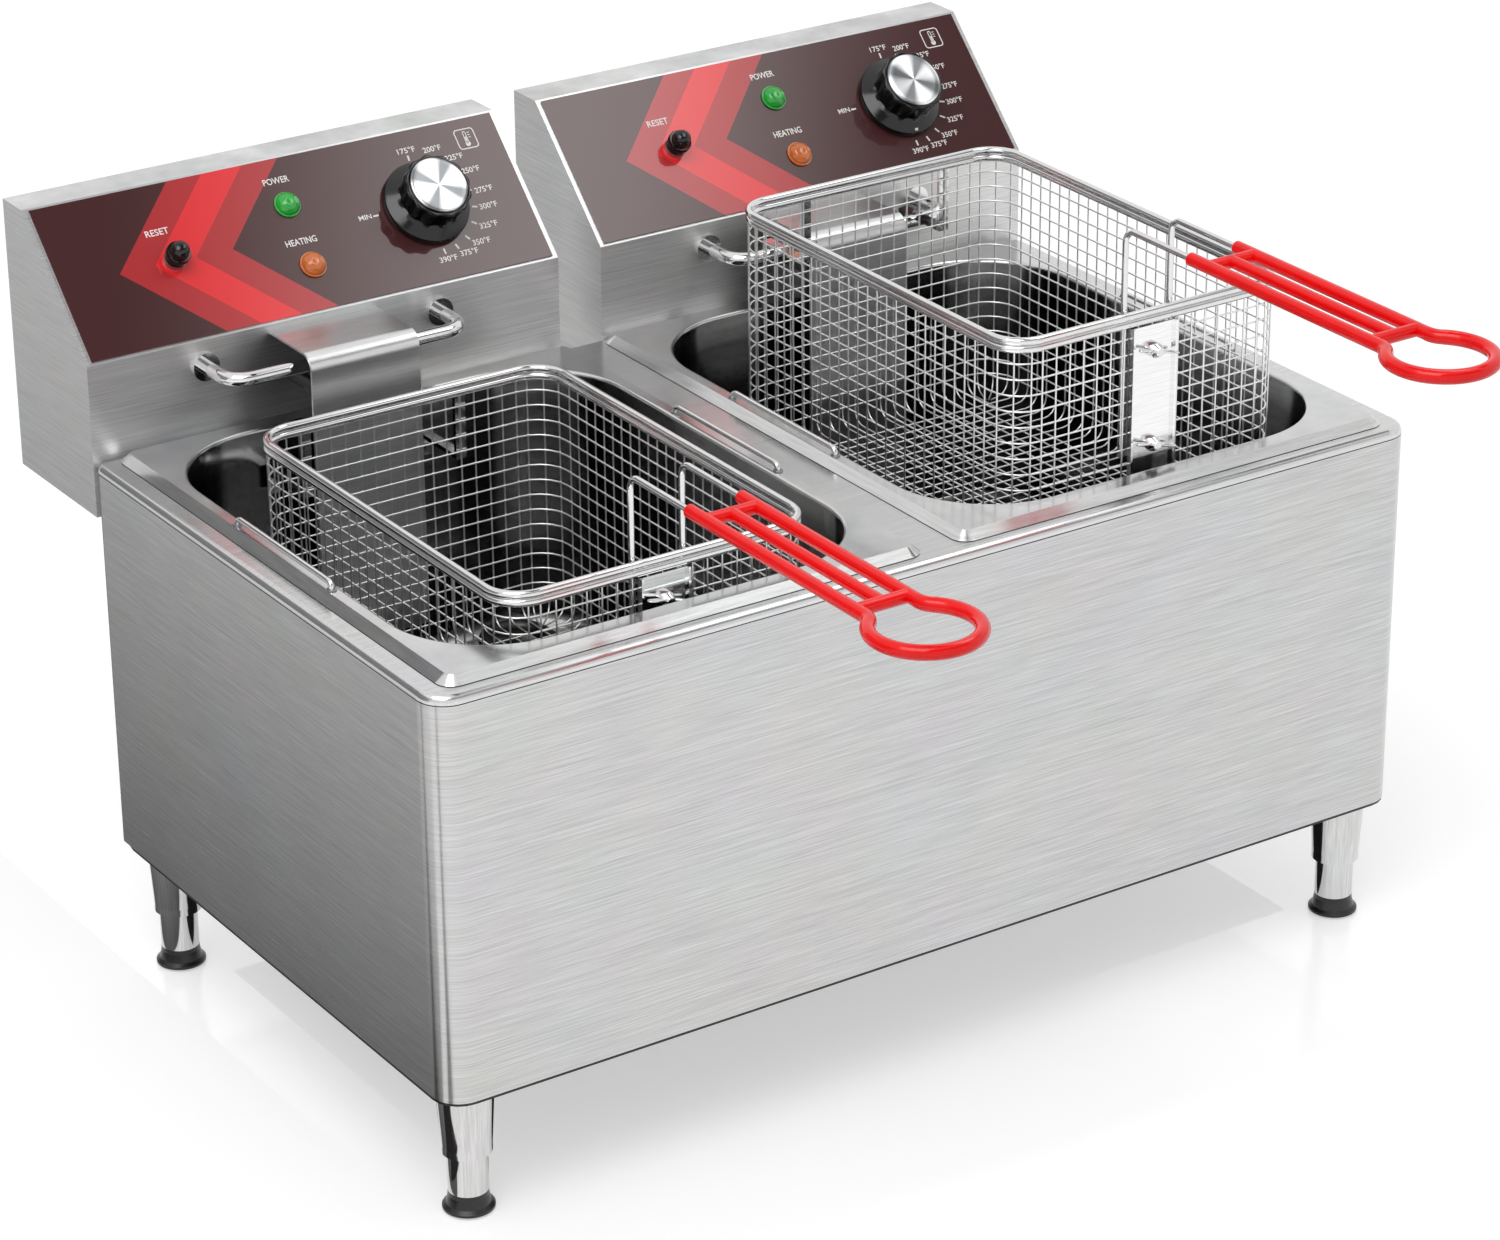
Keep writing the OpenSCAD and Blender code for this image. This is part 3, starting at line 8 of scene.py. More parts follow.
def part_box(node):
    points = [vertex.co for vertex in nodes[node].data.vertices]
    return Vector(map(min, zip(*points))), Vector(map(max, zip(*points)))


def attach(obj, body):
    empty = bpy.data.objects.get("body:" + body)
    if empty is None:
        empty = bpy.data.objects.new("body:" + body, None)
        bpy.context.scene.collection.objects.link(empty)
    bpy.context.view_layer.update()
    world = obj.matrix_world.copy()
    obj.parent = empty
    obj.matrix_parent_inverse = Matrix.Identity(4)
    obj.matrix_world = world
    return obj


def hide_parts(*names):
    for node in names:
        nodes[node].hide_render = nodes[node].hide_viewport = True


# Looks of a countertop deep fryer with two tanks, built around its fixed frame.

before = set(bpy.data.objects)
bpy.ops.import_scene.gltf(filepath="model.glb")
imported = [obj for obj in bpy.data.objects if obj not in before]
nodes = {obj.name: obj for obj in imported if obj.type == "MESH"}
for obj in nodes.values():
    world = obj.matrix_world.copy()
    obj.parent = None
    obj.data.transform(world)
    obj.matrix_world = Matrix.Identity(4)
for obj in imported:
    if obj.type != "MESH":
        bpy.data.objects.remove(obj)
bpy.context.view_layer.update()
scene = bpy.context.scene
scene.view_settings.view_transform = "Standard"

MM = 0.001
SIDES = ("left", "right")
FEET = ("fl", "fr", "bl", "br")

# Straight upright front of a control head below its slope, and the slope's angle
HEAD_FRONT = 82 * MM
SLOPE = math.radians(45)
# Height in mm of the panel's face over the sheet below it
PANEL_TOP = 1.0
# Middles of the controls in mm: across from the middle of the head, and up the slope
KNOB = (76.6, 45.4)
RESET = (-70.5, 46.0)
POWER = (1.5, 62.0)
HEATING = (1.5, 26.3)
# Gap in mm between a knob's skirt and the panel
KNOB_GAP = 0.5


# ---------- camera ----------

# Place in m, line of sight and upright direction, and focal length in mm on a 36 mm sensor
CAMERA_PLACE = (-1.24960, -1.830887, 1.22259)
CAMERA_SIGHT = (0.50069594, 0.75835392, -0.41737622)
CAMERA_UP = (0.23662901, 0.34389296, 0.90870476)
CAMERA_LENS = 115.515


def place_camera():
    """Camera over the front left corner, turned a little about its own axis."""
    forward = Vector(CAMERA_SIGHT).normalized()
    up = Vector(CAMERA_UP)
    right = forward.cross(up).normalized()
    up = right.cross(forward)
    turn = Matrix((right, up, -forward)).transposed().to_4x4()
    data = bpy.data.cameras.new("camera")
    data.sensor_width = 36
    data.lens = CAMERA_LENS
    data.clip_start = 0.05
    data.clip_end = 60
    camera = bpy.data.objects.new("camera", data)
    scene.collection.objects.link(camera)
    camera.matrix_world = Matrix.Translation(CAMERA_PLACE) @ turn
    scene.camera = camera


place_camera()


# ---------- materials ----------

def colour(code, alpha=1.0):
    """Linear colour of an sRGB hex code."""
    parts = [int(code[i:i + 2], 16) / 255 for i in (1, 3, 5)]
    linear = [c / 12.92 if c <= 0.04045 else ((c + 0.055) / 1.055) ** 2.4 for c in parts]
    return (*linear, alpha)


def new_material(name, **sockets):
    """Material with one Principled shader whose uniform sockets are set directly."""
    material = bpy.data.materials.new(name)
    material.use_nodes = True
    shader = material.node_tree.nodes["Principled BSDF"]
    for socket, value in sockets.items():
        shader.inputs[socket.replace("_", " ")].default_value = value
    return material, material.node_tree, shader


def add(tree, kind, values=(), links=(), **settings):
    """Adds a node with its settings, its socket values and the sockets that feed it."""
    node = tree.nodes.new("ShaderNode" + kind)
    for name, value in settings.items():
        setattr(node, name, value)
    for socket, value in dict(values).items():
        node.inputs[socket].default_value = value
    for socket, source in dict(links).items():
        tree.links.new(source, node.inputs[socket])
    return node


def ramp_stops(ramp, stops):
    """Sets a colour ramp's stops from (place, colour) pairs."""
    elements = ramp.color_ramp.elements
    while len(elements) > 1:
        elements.remove(elements[-1])
    elements[0].position, elements[0].color = stops[0]
    for place, tint in stops[1:]:
        elements.new(place).color = tint


# Broad clouds of rolled sheet, mm across
SHEET_CLOUD = 60
# Painted shade inside the pans: height in mm over which the steel darkens below the flange, and
# the share of the ground tone left there
TANK_SHADE_FADE = 12
TANK_SHADE_SHARE = 0.34
# Depth in mm of ground scratches and of the ripple on polished metal
SCRATCH_DEPTH = 0.05
RIPPLE_DEPTH = 0.03
# How dark the haze on plated metal is, as a share of its tint
HAZE_SHARE = 0.86
# Plastic: how far apart in mm its tint drifts, and the depth in mm of its skin
TINT_DRIFT = 12
SKIN_DEPTH = 0.1
# Height in mm below a pan's flange at which the painted shade starts
TANK_SHADE_START = 6


def brushed_stainless(name, grain, dark, light, rough=(0.26, 0.36), lift=0.08, sheen=None,
                      painted_shade_below=None):
    """Stainless sheet with a ground finish. grain is the length in mm of the scratches
    along x, y and z: long along the grinding and 0.25 to 0.5 mm across it, about twice the
    real width so that it shows. Long grain gives soft streaks and a satin sheen, which the
    scratches draw out across themselves, along the direction sheen. Below the height in m
    given as the last argument the tone is painted darker, a painted shade inside the pans."""
    material, tree, shader = new_material(name, Metallic=1.0)
    if sheen:
        shader.inputs["Anisotropic"].default_value = 0.7
        across = add(tree, "CombineXYZ", dict(zip("XYZ", sheen)))
        tree.links.new(across.outputs[0], shader.inputs["Tangent"])
    place = add(tree, "TexCoord").outputs["Object"]
    stretch = add(tree, "Mapping", {"Scale": [1 / (g * MM) for g in grain]},
                  {"Vector": place})
    fine = add(tree, "TexNoise", {"Scale": 1.0, "Detail": 3.0, "Roughness": 0.6},
               {"Vector": stretch.outputs["Vector"]})
    cloud = add(tree, "TexNoise", {"Scale": 1 / (SHEET_CLOUD * MM), "Detail": 2.0},
                {"Vector": place})
    tone = add(tree, "ValToRGB", links={"Fac": fine.outputs["Fac"]})
    ramp_stops(tone, [(0.30, colour(dark)), (0.70, colour(light))])
    mixed = add(tree, "Mix", {"Factor": 0.10}, data_type="RGBA", blend_type="SOFT_LIGHT",
                links={6: tone.outputs["Color"], 7: cloud.outputs["Color"]})
    skin = mixed.outputs[2]
    if painted_shade_below:
        # Painted shade: the tone is scaled down below that height
        height = add(tree, "SeparateXYZ", links={"Vector": place}).outputs["Z"]
        depth = add(tree, "MapRange", {"From Min": painted_shade_below - TANK_SHADE_FADE * MM,
                                       "From Max": painted_shade_below, "To Min": TANK_SHADE_SHARE},
                    {"Value": height})
        skin = add(tree, "VectorMath", links={0: skin, "Scale": depth.outputs["Result"]},
                   operation="SCALE").outputs[0]
    tree.links.new(skin, shader.inputs["Base Color"])
    gloss = add(tree, "MapRange", {"To Min": rough[0], "To Max": rough[1]},
                {"Value": fine.outputs["Fac"]})
    tree.links.new(gloss.outputs["Result"], shader.inputs["Roughness"])
    bump = add(tree, "Bump", {"Strength": lift, "Distance": SCRATCH_DEPTH * MM},
               {"Height": fine.outputs["Fac"]})
    tree.links.new(bump.outputs["Normal"], shader.inputs["Normal"])
    return material


def plain_metal(name, tint, rough, spread=0.05, size=4.0, lift=0.03):
    """Drawn, plated or polished metal: an even tint with slight haze, size mm across."""
    material, tree, shader = new_material(name, Metallic=1.0)
    place = add(tree, "TexCoord").outputs["Object"]
    haze = add(tree, "TexNoise", {"Scale": 1 / (size * MM), "Detail": 3.0},
               {"Vector": place})
    hazy = [HAZE_SHARE * c for c in colour(tint)[:3]] + [1.0]
    tone = add(tree, "Mix", {6: colour(tint), 7: hazy}, data_type="RGBA",
               links={"Factor": haze.outputs["Fac"]})
    tree.links.new(tone.outputs[2], shader.inputs["Base Color"])
    gloss = add(tree, "MapRange", {"To Min": rough - spread / 2, "To Max": rough + spread / 2},
                {"Value": haze.outputs["Fac"]})
    tree.links.new(gloss.outputs["Result"], shader.inputs["Roughness"])
    bump = add(tree, "Bump", {"Strength": lift, "Distance": RIPPLE_DEPTH * MM},
               {"Height": haze.outputs["Fac"]})
    tree.links.new(bump.outputs["Normal"], shader.inputs["Normal"])
    return material


def moulded(name, tint, worn, rough, size=1.2, lift=0.05, **sockets):
    """Moulded or dipped plastic: its tint drifts a little and its skin ripples, size mm across."""
    material, tree, shader = new_material(name, **sockets)
    place = add(tree, "TexCoord").outputs["Object"]
    drift = add(tree, "TexNoise", {"Scale": 1 / (TINT_DRIFT * MM), "Detail": 2.0},
                {"Vector": place})
    tone = add(tree, "ValToRGB", links={"Fac": drift.outputs["Fac"]})
    ramp_stops(tone, [(0.35, colour(tint)), (0.75, colour(worn))])
    tree.links.new(tone.outputs["Color"], shader.inputs["Base Color"])
    ripple = add(tree, "TexNoise", {"Scale": 1 / (size * MM), "Detail": 2.0},
                 {"Vector": place})
    gloss = add(tree, "MapRange", {"To Min": rough - 0.04, "To Max": rough + 0.06},
                {"Value": ripple.outputs["Fac"]})
    tree.links.new(gloss.outputs["Result"], shader.inputs["Roughness"])
    bump = add(tree, "Bump", {"Strength": lift, "Distance": SKIN_DEPTH * MM},
               {"Height": ripple.outputs["Fac"]})
    tree.links.new(bump.outputs["Normal"], shader.inputs["Normal"])
    return material


def slope_place(tree, place):
    """Distances in mm along a head's slope: across from its middle, and up from its foot."""
    lo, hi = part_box("right_head_shell")
    apart = add(tree, "SeparateXYZ", links={"Vector": place})
    side = add(tree, "Math", operation="SIGN", links={0: apart.outputs["X"]})
    middle = add(tree, "Math", {1: (lo.x + hi.x) / 2}, operation="MULTIPLY",
                 links={0: side.outputs[0]})
    across = add(tree, "Math", operation="SUBTRACT",
                 links={0: apart.outputs["X"], 1: middle.outputs[0]})
    across = add(tree, "Math", {1: 1 / MM}, operation="MULTIPLY", links={0: across.outputs[0]})
    rise = add(tree, "Math", {1: -(lo.z + HEAD_FRONT)}, operation="ADD",
               links={0: apart.outputs["Z"]})
    # On a slope of 45 degrees the way up is the rise over its sine
    up = add(tree, "Math", {1: 1 / MM / math.sin(SLOPE)}, operation="MULTIPLY",
             links={0: rise.outputs[0]})
    return across.outputs[0], up.outputs[0]


# Printed bands, in mm along a head's slope: how far up their point is, where each colour
# starts there, counted from the head's middle, and the reach of the ramp that holds them
BAND_POINT = 45.7
BAND_EDGES = (-102, -82.7, -59, -37.8)
RAMP_REACH = 150.0
# Grain of the print in mm
SPECK = 0.8


def printed_panel():
    """Polyester front foil printed on its back: dark brown with three red bands that turn
    back in a point. The clear foil in front gives the print its wet gloss."""
    material, tree, shader = new_material(
        "printed_polyester_foil", Roughness=0.40, Specular_IOR_Level=0.2, Coat_Weight=0.9,
        Coat_Roughness=0.05)
    place = add(tree, "TexCoord").outputs["Object"]
    across, up = slope_place(tree, place)
    off = add(tree, "Math", {1: BAND_POINT}, operation="SUBTRACT", links={0: up})
    off = add(tree, "Math", operation="ABSOLUTE", links={0: off.outputs[0]})
    band = add(tree, "Math", operation="SUBTRACT", links={0: across, 1: off.outputs[0]})
    along = add(tree, "MapRange", {"From Min": -RAMP_REACH, "From Max": RAMP_REACH},
                {"Value": band.outputs[0]})
    tint = add(tree, "ValToRGB", links={"Fac": along.outputs["Result"]})
    tint.color_ramp.interpolation = "CONSTANT"
    brown, edge, middle = colour("#461F20"), colour("#B82A2E"), colour("#EE2A30")
    starts = [(spot + RAMP_REACH) / (2 * RAMP_REACH) for spot in BAND_EDGES]
    ramp_stops(tint, [(0.0, brown)] + list(zip(starts, (edge, middle, edge, brown))))
    speck = add(tree, "TexNoise", {"Scale": 1 / (SPECK * MM), "Detail": 1.0},
                {"Vector": place})
    tone = add(tree, "Mix", {"Factor": 0.04}, data_type="RGBA", blend_type="OVERLAY",
               links={6: tint.outputs["Color"], 7: speck.outputs["Color"]})
    tree.links.new(tone.outputs[2], shader.inputs["Base Color"])
    bump = add(tree, "Bump", {"Strength": 0.04, "Distance": SCRATCH_DEPTH * MM},
               {"Height": speck.outputs["Fac"]})
    tree.links.new(bump.outputs["Normal"], shader.inputs["Normal"])
    return material


# Painted highlight wedges of a turned cap and their turn in radians, and the tool's step in mm
CAP_PAINTED_WEDGES = 4.0
CAP_TURN = 0.9
TOOL_STEP = 0.4


def turned_aluminium(name, centre):
    """Aluminium cap faced on a lathe. Its colour holds painted highlight: bright and dark
    wedges for the light that the tool's rings throw. The sheen stretches each highlight across the
    rings."""
    material, tree, shader = new_material(name, Metallic=1.0, Anisotropic=0.7,
                                          Roughness=0.28)
    place = add(tree, "TexCoord").outputs["Object"]
    shifted = add(tree, "VectorMath", {1: centre}, operation="SUBTRACT", links={0: place})
    flat = add(tree, "VectorRotate", {"Angle": -SLOPE, "Axis": (1.0, 0.0, 0.0)},
               {"Vector": shifted.outputs[0]}, rotation_type="AXIS_ANGLE")
    apart = add(tree, "SeparateXYZ", links={"Vector": flat.outputs[0]})
    angle = add(tree, "Math", operation="ARCTAN2",
                links={0: apart.outputs["Y"], 1: apart.outputs["X"]})
    lobes = add(tree, "Math", {1: CAP_PAINTED_WEDGES, 2: CAP_TURN}, operation="MULTIPLY_ADD",
                links={0: angle.outputs[0]})
    wave = add(tree, "Math", operation="SINE", links={0: lobes.outputs[0]})
    painted_highlight = add(tree, "MapRange", {"From Min": -1.0, "From Max": 1.0},
                 {"Value": wave.outputs[0]})
    far = add(tree, "VectorMath", operation="LENGTH", links={0: flat.outputs[0]})
    ring = add(tree, "Math", {1: 2 * math.pi / (TOOL_STEP * MM)}, operation="MULTIPLY",
               links={0: far.outputs["Value"]})
    ring = add(tree, "Math", operation="SINE", links={0: ring.outputs[0]})
    # Painted highlight and shade: the wedges' tones go into the base colour
    tone = add(tree, "ValToRGB", links={"Fac": painted_highlight.outputs["Result"]})
    ramp_stops(tone, [(0.10, colour("#808284")), (0.50, colour("#D6D8DA")),
                      (0.90, colour("#FAFAFB"))])
    tree.links.new(tone.outputs["Color"], shader.inputs["Base Color"])
    around = add(tree, "VectorMath", {1: (0.0, -math.sin(SLOPE), math.cos(SLOPE))},
                 operation="CROSS_PRODUCT", links={0: shifted.outputs[0]})
    around = add(tree, "VectorMath", operation="NORMALIZE", links={0: around.outputs[0]})
    tree.links.new(around.outputs[0], shader.inputs["Tangent"])
    bump = add(tree, "Bump", {"Strength": 0.15, "Distance": RIPPLE_DEPTH * MM},
               {"Height": ring.outputs[0]})
    tree.links.new(bump.outputs["Normal"], shader.inputs["Normal"])
    return material


# ---------- modelling ----------

# Points closer together than this in mm become one
WELD = 0.002


def only(piece):
    """Makes this piece the one that the next operator acts on."""
    bpy.ops.object.select_all(action="DESELECT")
    piece.select_set(True)
    bpy.context.view_layer.objects.active = piece


def open_mesh(piece):
    """Edit mode with everything selected."""
    only(piece)
    bpy.ops.object.mode_set(mode="EDIT")
    bpy.ops.mesh.select_all(action="SELECT")


def close_mesh():
    """Back to object mode with outward faces and no doubles."""
    bpy.ops.mesh.select_all(action="SELECT")
    bpy.ops.mesh.remove_doubles(threshold=WELD * MM)
    bpy.ops.mesh.normals_make_consistent(inside=False)
    bpy.ops.object.mode_set(mode="OBJECT")


def pick(piece, kind, test):
    """Selects in edit mode the faces, edges or vertices whose middle passes the test."""
    bpy.ops.mesh.select_mode(type=kind)
    bpy.ops.mesh.select_all(action="DESELECT")
    mesh = bmesh.from_edit_mesh(piece.data)
    if kind == "VERT":
        for vert in mesh.verts:
            vert.select = test(vert.co)
    elif kind == "EDGE":
        for edge in mesh.edges:
            edge.select = test((edge.verts[0].co + edge.verts[1].co) / 2)
    else:
        for face in mesh.faces:
            face.select = test(face.calc_center_median())
    mesh.select_flush_mode()
    bmesh.update_edit_mesh(piece.data)


def modify(piece, kind, **settings):
    """Adds a modifier and applies it."""
    only(piece)
    modifier = piece.modifiers.new(kind.lower(), kind)
    for name, value in settings.items():
        setattr(modifier, name, value)
    bpy.ops.object.modifier_apply(modifier=modifier.name)


def settle(piece, place=Matrix.Identity(4)):
    """Puts a piece in its place and writes the place into its mesh."""
    only(piece)
    piece.matrix_world = place @ piece.matrix_world
    bpy.ops.object.transform_apply(location=True, rotation=True, scale=True)
    return piece


def copy_of(piece, name, place=Matrix.Identity(4)):
    """Copy with its own mesh, moved by a matrix."""
    twin = piece.copy()
    twin.data = piece.data.copy()
    twin.name = twin.data.name = name
    scene.collection.objects.link(twin)
    return settle(twin, place)


def joined(pieces, name):
    """One piece out of several."""
    bpy.ops.object.select_all(action="DESELECT")
    for piece in pieces:
        piece.select_set(True)
    bpy.context.view_layer.objects.active = pieces[0]
    if len(pieces) > 1:
        bpy.ops.object.join()
    pieces[0].name = pieces[0].data.name = name
    return pieces[0]


def hand_over(piece, body, finish, stands_for=(), sharp=35):
    """Gives a finished piece its finish, its body and the CAD nodes that it stands for."""
    only(piece)
    bpy.ops.object.shade_smooth_by_angle(angle=math.radians(sharp))
    piece.data.materials.clear()
    piece.data.materials.append(finish)
    piece.data.name = piece.name
    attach(piece, body)
    if stands_for:
        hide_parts(*stands_for)


def turned(name, rings, sides=64):
    """Piece turned about Z, drawn up from a disc through (radius, height) rings in mm."""
    bpy.ops.object.select_all(action="DESELECT")
    radius, height = rings[0]
    bpy.ops.mesh.primitive_circle_add(
        vertices=sides, radius=radius * MM, fill_type="NGON", location=(0, 0, height * MM))
    piece = bpy.context.object
    piece.name = name
    settle(piece)
    open_mesh(piece)
    for wide, high in rings[1:]:
        bpy.ops.mesh.extrude_region_move(
            TRANSFORM_OT_translate={"value": (0, 0, (high - height) * MM)})
        bpy.ops.transform.resize(value=(wide / radius, wide / radius, 1),
                                 center_override=(0, 0, high * MM))
        radius, height = wide, high
    close_mesh()
    return piece


def wire(name, start, heading, gauge, moves, sides=8):
    """Round wire drawn from start. A move is a straight run (x, y, z), or a turn
    (centre, axis, angle in degrees, steps), all in mm."""
    bpy.ops.object.select_all(action="DESELECT")
    facing = Vector((0, 0, 1)).rotation_difference(Vector(heading)).to_euler()
    bpy.ops.mesh.primitive_circle_add(
        vertices=sides, radius=gauge / 2 * MM, fill_type="NGON",
        location=Vector(start) * MM, rotation=facing)
    piece = bpy.context.object
    piece.name = name
    settle(piece)
    open_mesh(piece)
    for move in moves:
        if len(move) == 3:
            bpy.ops.mesh.extrude_region_move(
                TRANSFORM_OT_translate={"value": Vector(move) * MM})
        else:
            centre, axis, angle, steps = move
            # Without a window, spin turns against the axis's right hand
            bpy.ops.mesh.spin(steps=steps, angle=-math.radians(angle),
                              center=Vector(centre) * MM, axis=axis)
    close_mesh()
    return piece


def on_slope(side, across=0.0, up=0.0, lift=0.0):
    """Place on a head's slope: X across, Y up the slope and Z out of it, in mm."""
    lo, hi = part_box(side + "_head_shell")
    foot = Vector(((lo.x + hi.x) / 2, lo.y, lo.z + HEAD_FRONT))
    shift = Matrix.Translation(Vector((across, up, lift)) * MM)
    return Matrix.Translation(foot) @ Matrix.Rotation(SLOPE, 4, "X") @ shift


# ---------- finishes ----------

cabinet_sheet = brushed_stainless("ground_stainless_sheet", (35, 35, 0.25), "#B0B0B0",
                                  "#D6D6D6", rough=(0.20, 0.30), lift=0.05, sheen=(0, 0, 1))
# The heads' steel is the cabinet's ground sheet in lighter tones: painted light that brightens the
# heads' fronts
lighter_painted_head_sheet = brushed_stainless("ground_stainless_head", (35, 35, 0.25), "#BEBEBE", "#E2E2E2",
                               rough=(0.34, 0.44), lift=0.05, sheen=(0, 0, 1))
deck_sheet = brushed_stainless("ground_stainless_deck", (60, 0.35, 0.35), "#C4C4C4", "#DEDEDE",
                               rough=(0.16, 0.26), sheen=(0, 1, 0))
# Inside the pans the steel is painted darker below the flange: painted shade
pan_steel = brushed_stainless("drawn_stainless_pan", (30, 30, 1.2), "#C4C4C4", "#D6D6D6",
                              rough=(0.13, 0.20), lift=0.02,
                              painted_shade_below=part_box("left_tank")[1].z - TANK_SHADE_START * MM)
leg_tube = brushed_stainless("satin_steel_tube", (1.0, 1.0, 30), "#C2C2C2", "#DADADA",
                             rough=(0.06, 0.12), lift=0.02)
guard_sheet = brushed_stainless("satin_stainless_guard", (20, 0.4, 0.4), "#CCCCCC", "#E8E8E8",
                                rough=(0.26, 0.36))
plate_sheet = brushed_stainless("bright_stainless_plate", (20, 20, 0.5), "#E6E6E6", "#F6F6F6",
                                rough=(0.08, 0.14), lift=0.03)
chrome = plain_metal("bright_chromed_rod", "#E4E4E4", 0.08)
mesh_wire = plain_metal("bright_stainless_wire", "#F4F4F4", 0.34)
element_skin = plain_metal("oxidised_element_sheath", "#4A4846", 0.42, spread=0.2, size=6.0)
zinc_plate = plain_metal("zinc_plated_steel", "#A3A6A8", 0.35)
red_dip = moulded("red_dipped_coating", "#F80609", "#F00508", 0.20, lift=0.04,
                  Specular_IOR_Level=0.2, Coat_Weight=0.3, Coat_Roughness=0.04)
black_moulding = moulded("glossy_black_abs", "#060607", "#0C0C0D", 0.14, lift=0.03)
black_rubber = moulded("moulded_black_rubber", "#121213", "#1B1B1C", 0.30, lift=0.12)
gland_nylon = moulded("black_nylon_gland", "#161617", "#1D1D1F", 0.42)
green_lens = moulded("green_polycarbonate_lens", "#12B83A", "#0C9E2E", 0.10,
                     Coat_Weight=0.6, Coat_Roughness=0.03)
orange_lens = moulded("orange_polycarbonate_lens", "#D9742A", "#C8611B", 0.10,
                      Coat_Weight=0.6, Coat_Roughness=0.03)
white_ink = moulded("white_screen_ink", "#F4F2EF", "#ECE9E6", 0.35, lift=0.02)
panel_print = printed_panel()

FINISHES = [
    (cabinet_sheet, ["cabinet_shell", "cabinet_back", "base_plate", "head_rails"]),
    (deck_sheet, ["cabinet_deck"]),
    (leg_tube, ["leg_sleeves"] + ["leg_tube_" + foot for foot in FEET]),
    (black_rubber, ["foot_pad_" + foot for foot in FEET]),
    (lighter_painted_head_sheet, ["*_head_shell", "*_head_back"]),
    (pan_steel, ["*_tank"]),
    (zinc_plate, ["*_eyelets", "*_thermostats"]),
    (chrome, ["*_pull_outer", "*_pull_inner", "*_hanger_rod", "*_basket_rim",
              "*_handle_wires", "*_basket_bolts"]),
    (mesh_wire, ["*_basket_mesh"]),
    (plate_sheet, ["*_basket_plate"]),
    (guard_sheet, ["*_guard"]),
    (element_skin, ["*_element"]),
    (red_dip, ["*_handle_grip"]),
    (panel_print, ["*_panel"]),
    (black_moulding, ["*_knob", "*_reset"]),
    (gland_nylon, ["*_inlet"]),
]


def dress(name, finish):
    """Gives a CAD node its finish in place of the plain one."""
    node = nodes[name]
    for slot in node.material_slots:
        slot.material = finish
    if not node.material_slots:
        node.data.materials.append(finish)


for finish, names in FINISHES:
    for name in names:
        if name.startswith("*"):
            for side in SIDES:
                dress(side + name[1:], finish)
        else:
            dress(name, finish)


# ---------- wire baskets ----------

# Pitch and thickness of the wires, in mm as everything below
PITCH = 8.4
GAUGE = 0.95
# Middles of the outer and inner wires, counted in from the outside: each wire is set into
# the one that crosses it, where they are welded
OUT = GAUGE / 2
IN = OUT + 0.72
# Outer radius of the bend between wall and floor, and of the upright corners
ROLL = 8.0
CORNER = 19.1
# How far the hoops run up into the rim, and the top ring below the hoops' ends
RIM_LAP = 1.2
TOP_RING = 7.0
# Wires in each corner: their directions in degrees, and how far they run in under the floor
TAIL_SWINGS = (-27, 0, 27)
TAIL_RUN = 8.0


def ring_wire(width, depth, corner, height):
    """One level ring round the basket: a quarter is drawn and mirrored twice."""
    x, y = width / 2 - IN, depth / 2 - IN
    bend = corner - IN
    ring = wire("ring", (0, -y, height), (1, 0, 0), GAUGE, [
        (x - bend, 0, 0),
        ((x - bend, -y + bend, height), (0, 0, 1), 90, 5),
        (0, y - bend, 0)])
    open_mesh(ring)
    pick(ring, "FACE", lambda c: abs(c.x) < 1e-6 or abs(c.y) < 1e-6)
    bpy.ops.mesh.delete(type="FACE")
    bpy.ops.object.mode_set(mode="OBJECT")
    modify(ring, "MIRROR", use_axis=(True, True, False), merge_threshold=0.005 * MM)
    open_mesh(ring)
    close_mesh()
    return ring


def hoop(name, half, top, floor):
    """Wire down one wall, along the floor and up the other wall; drawn along X."""
    roll = ROLL - OUT
    return wire(name, (-half, 0, top), (0, 0, -1), GAUGE, [
        (0, 0, floor + roll - top),
        ((-half + roll, 0, floor + roll), (0, -1, 0), 90, 4),
        (2 * (half - roll), 0, 0),
        ((half - roll, 0, floor + roll), (0, -1, 0), 90, 4),
        (0, 0, top - floor - roll)])


def corner_tail(reach, top, floor, inward):
    """Wire down a rounded corner that turns in under the basket; drawn along X."""
    roll = ROLL - OUT
    return wire("corner_tail", (reach, 0, top), (0, 0, -1), GAUGE, [
        (0, 0, floor + roll - top),
        ((reach - roll, 0, floor + roll), (0, 1, 0), 90, 4),
        (-inward, 0, 0)])


def rows(span):
    """How many wires stand PITCH apart within a span, and the place of the first."""
    count = int(span / PITCH) + 1
    return count, -(count - 1) * PITCH / 2


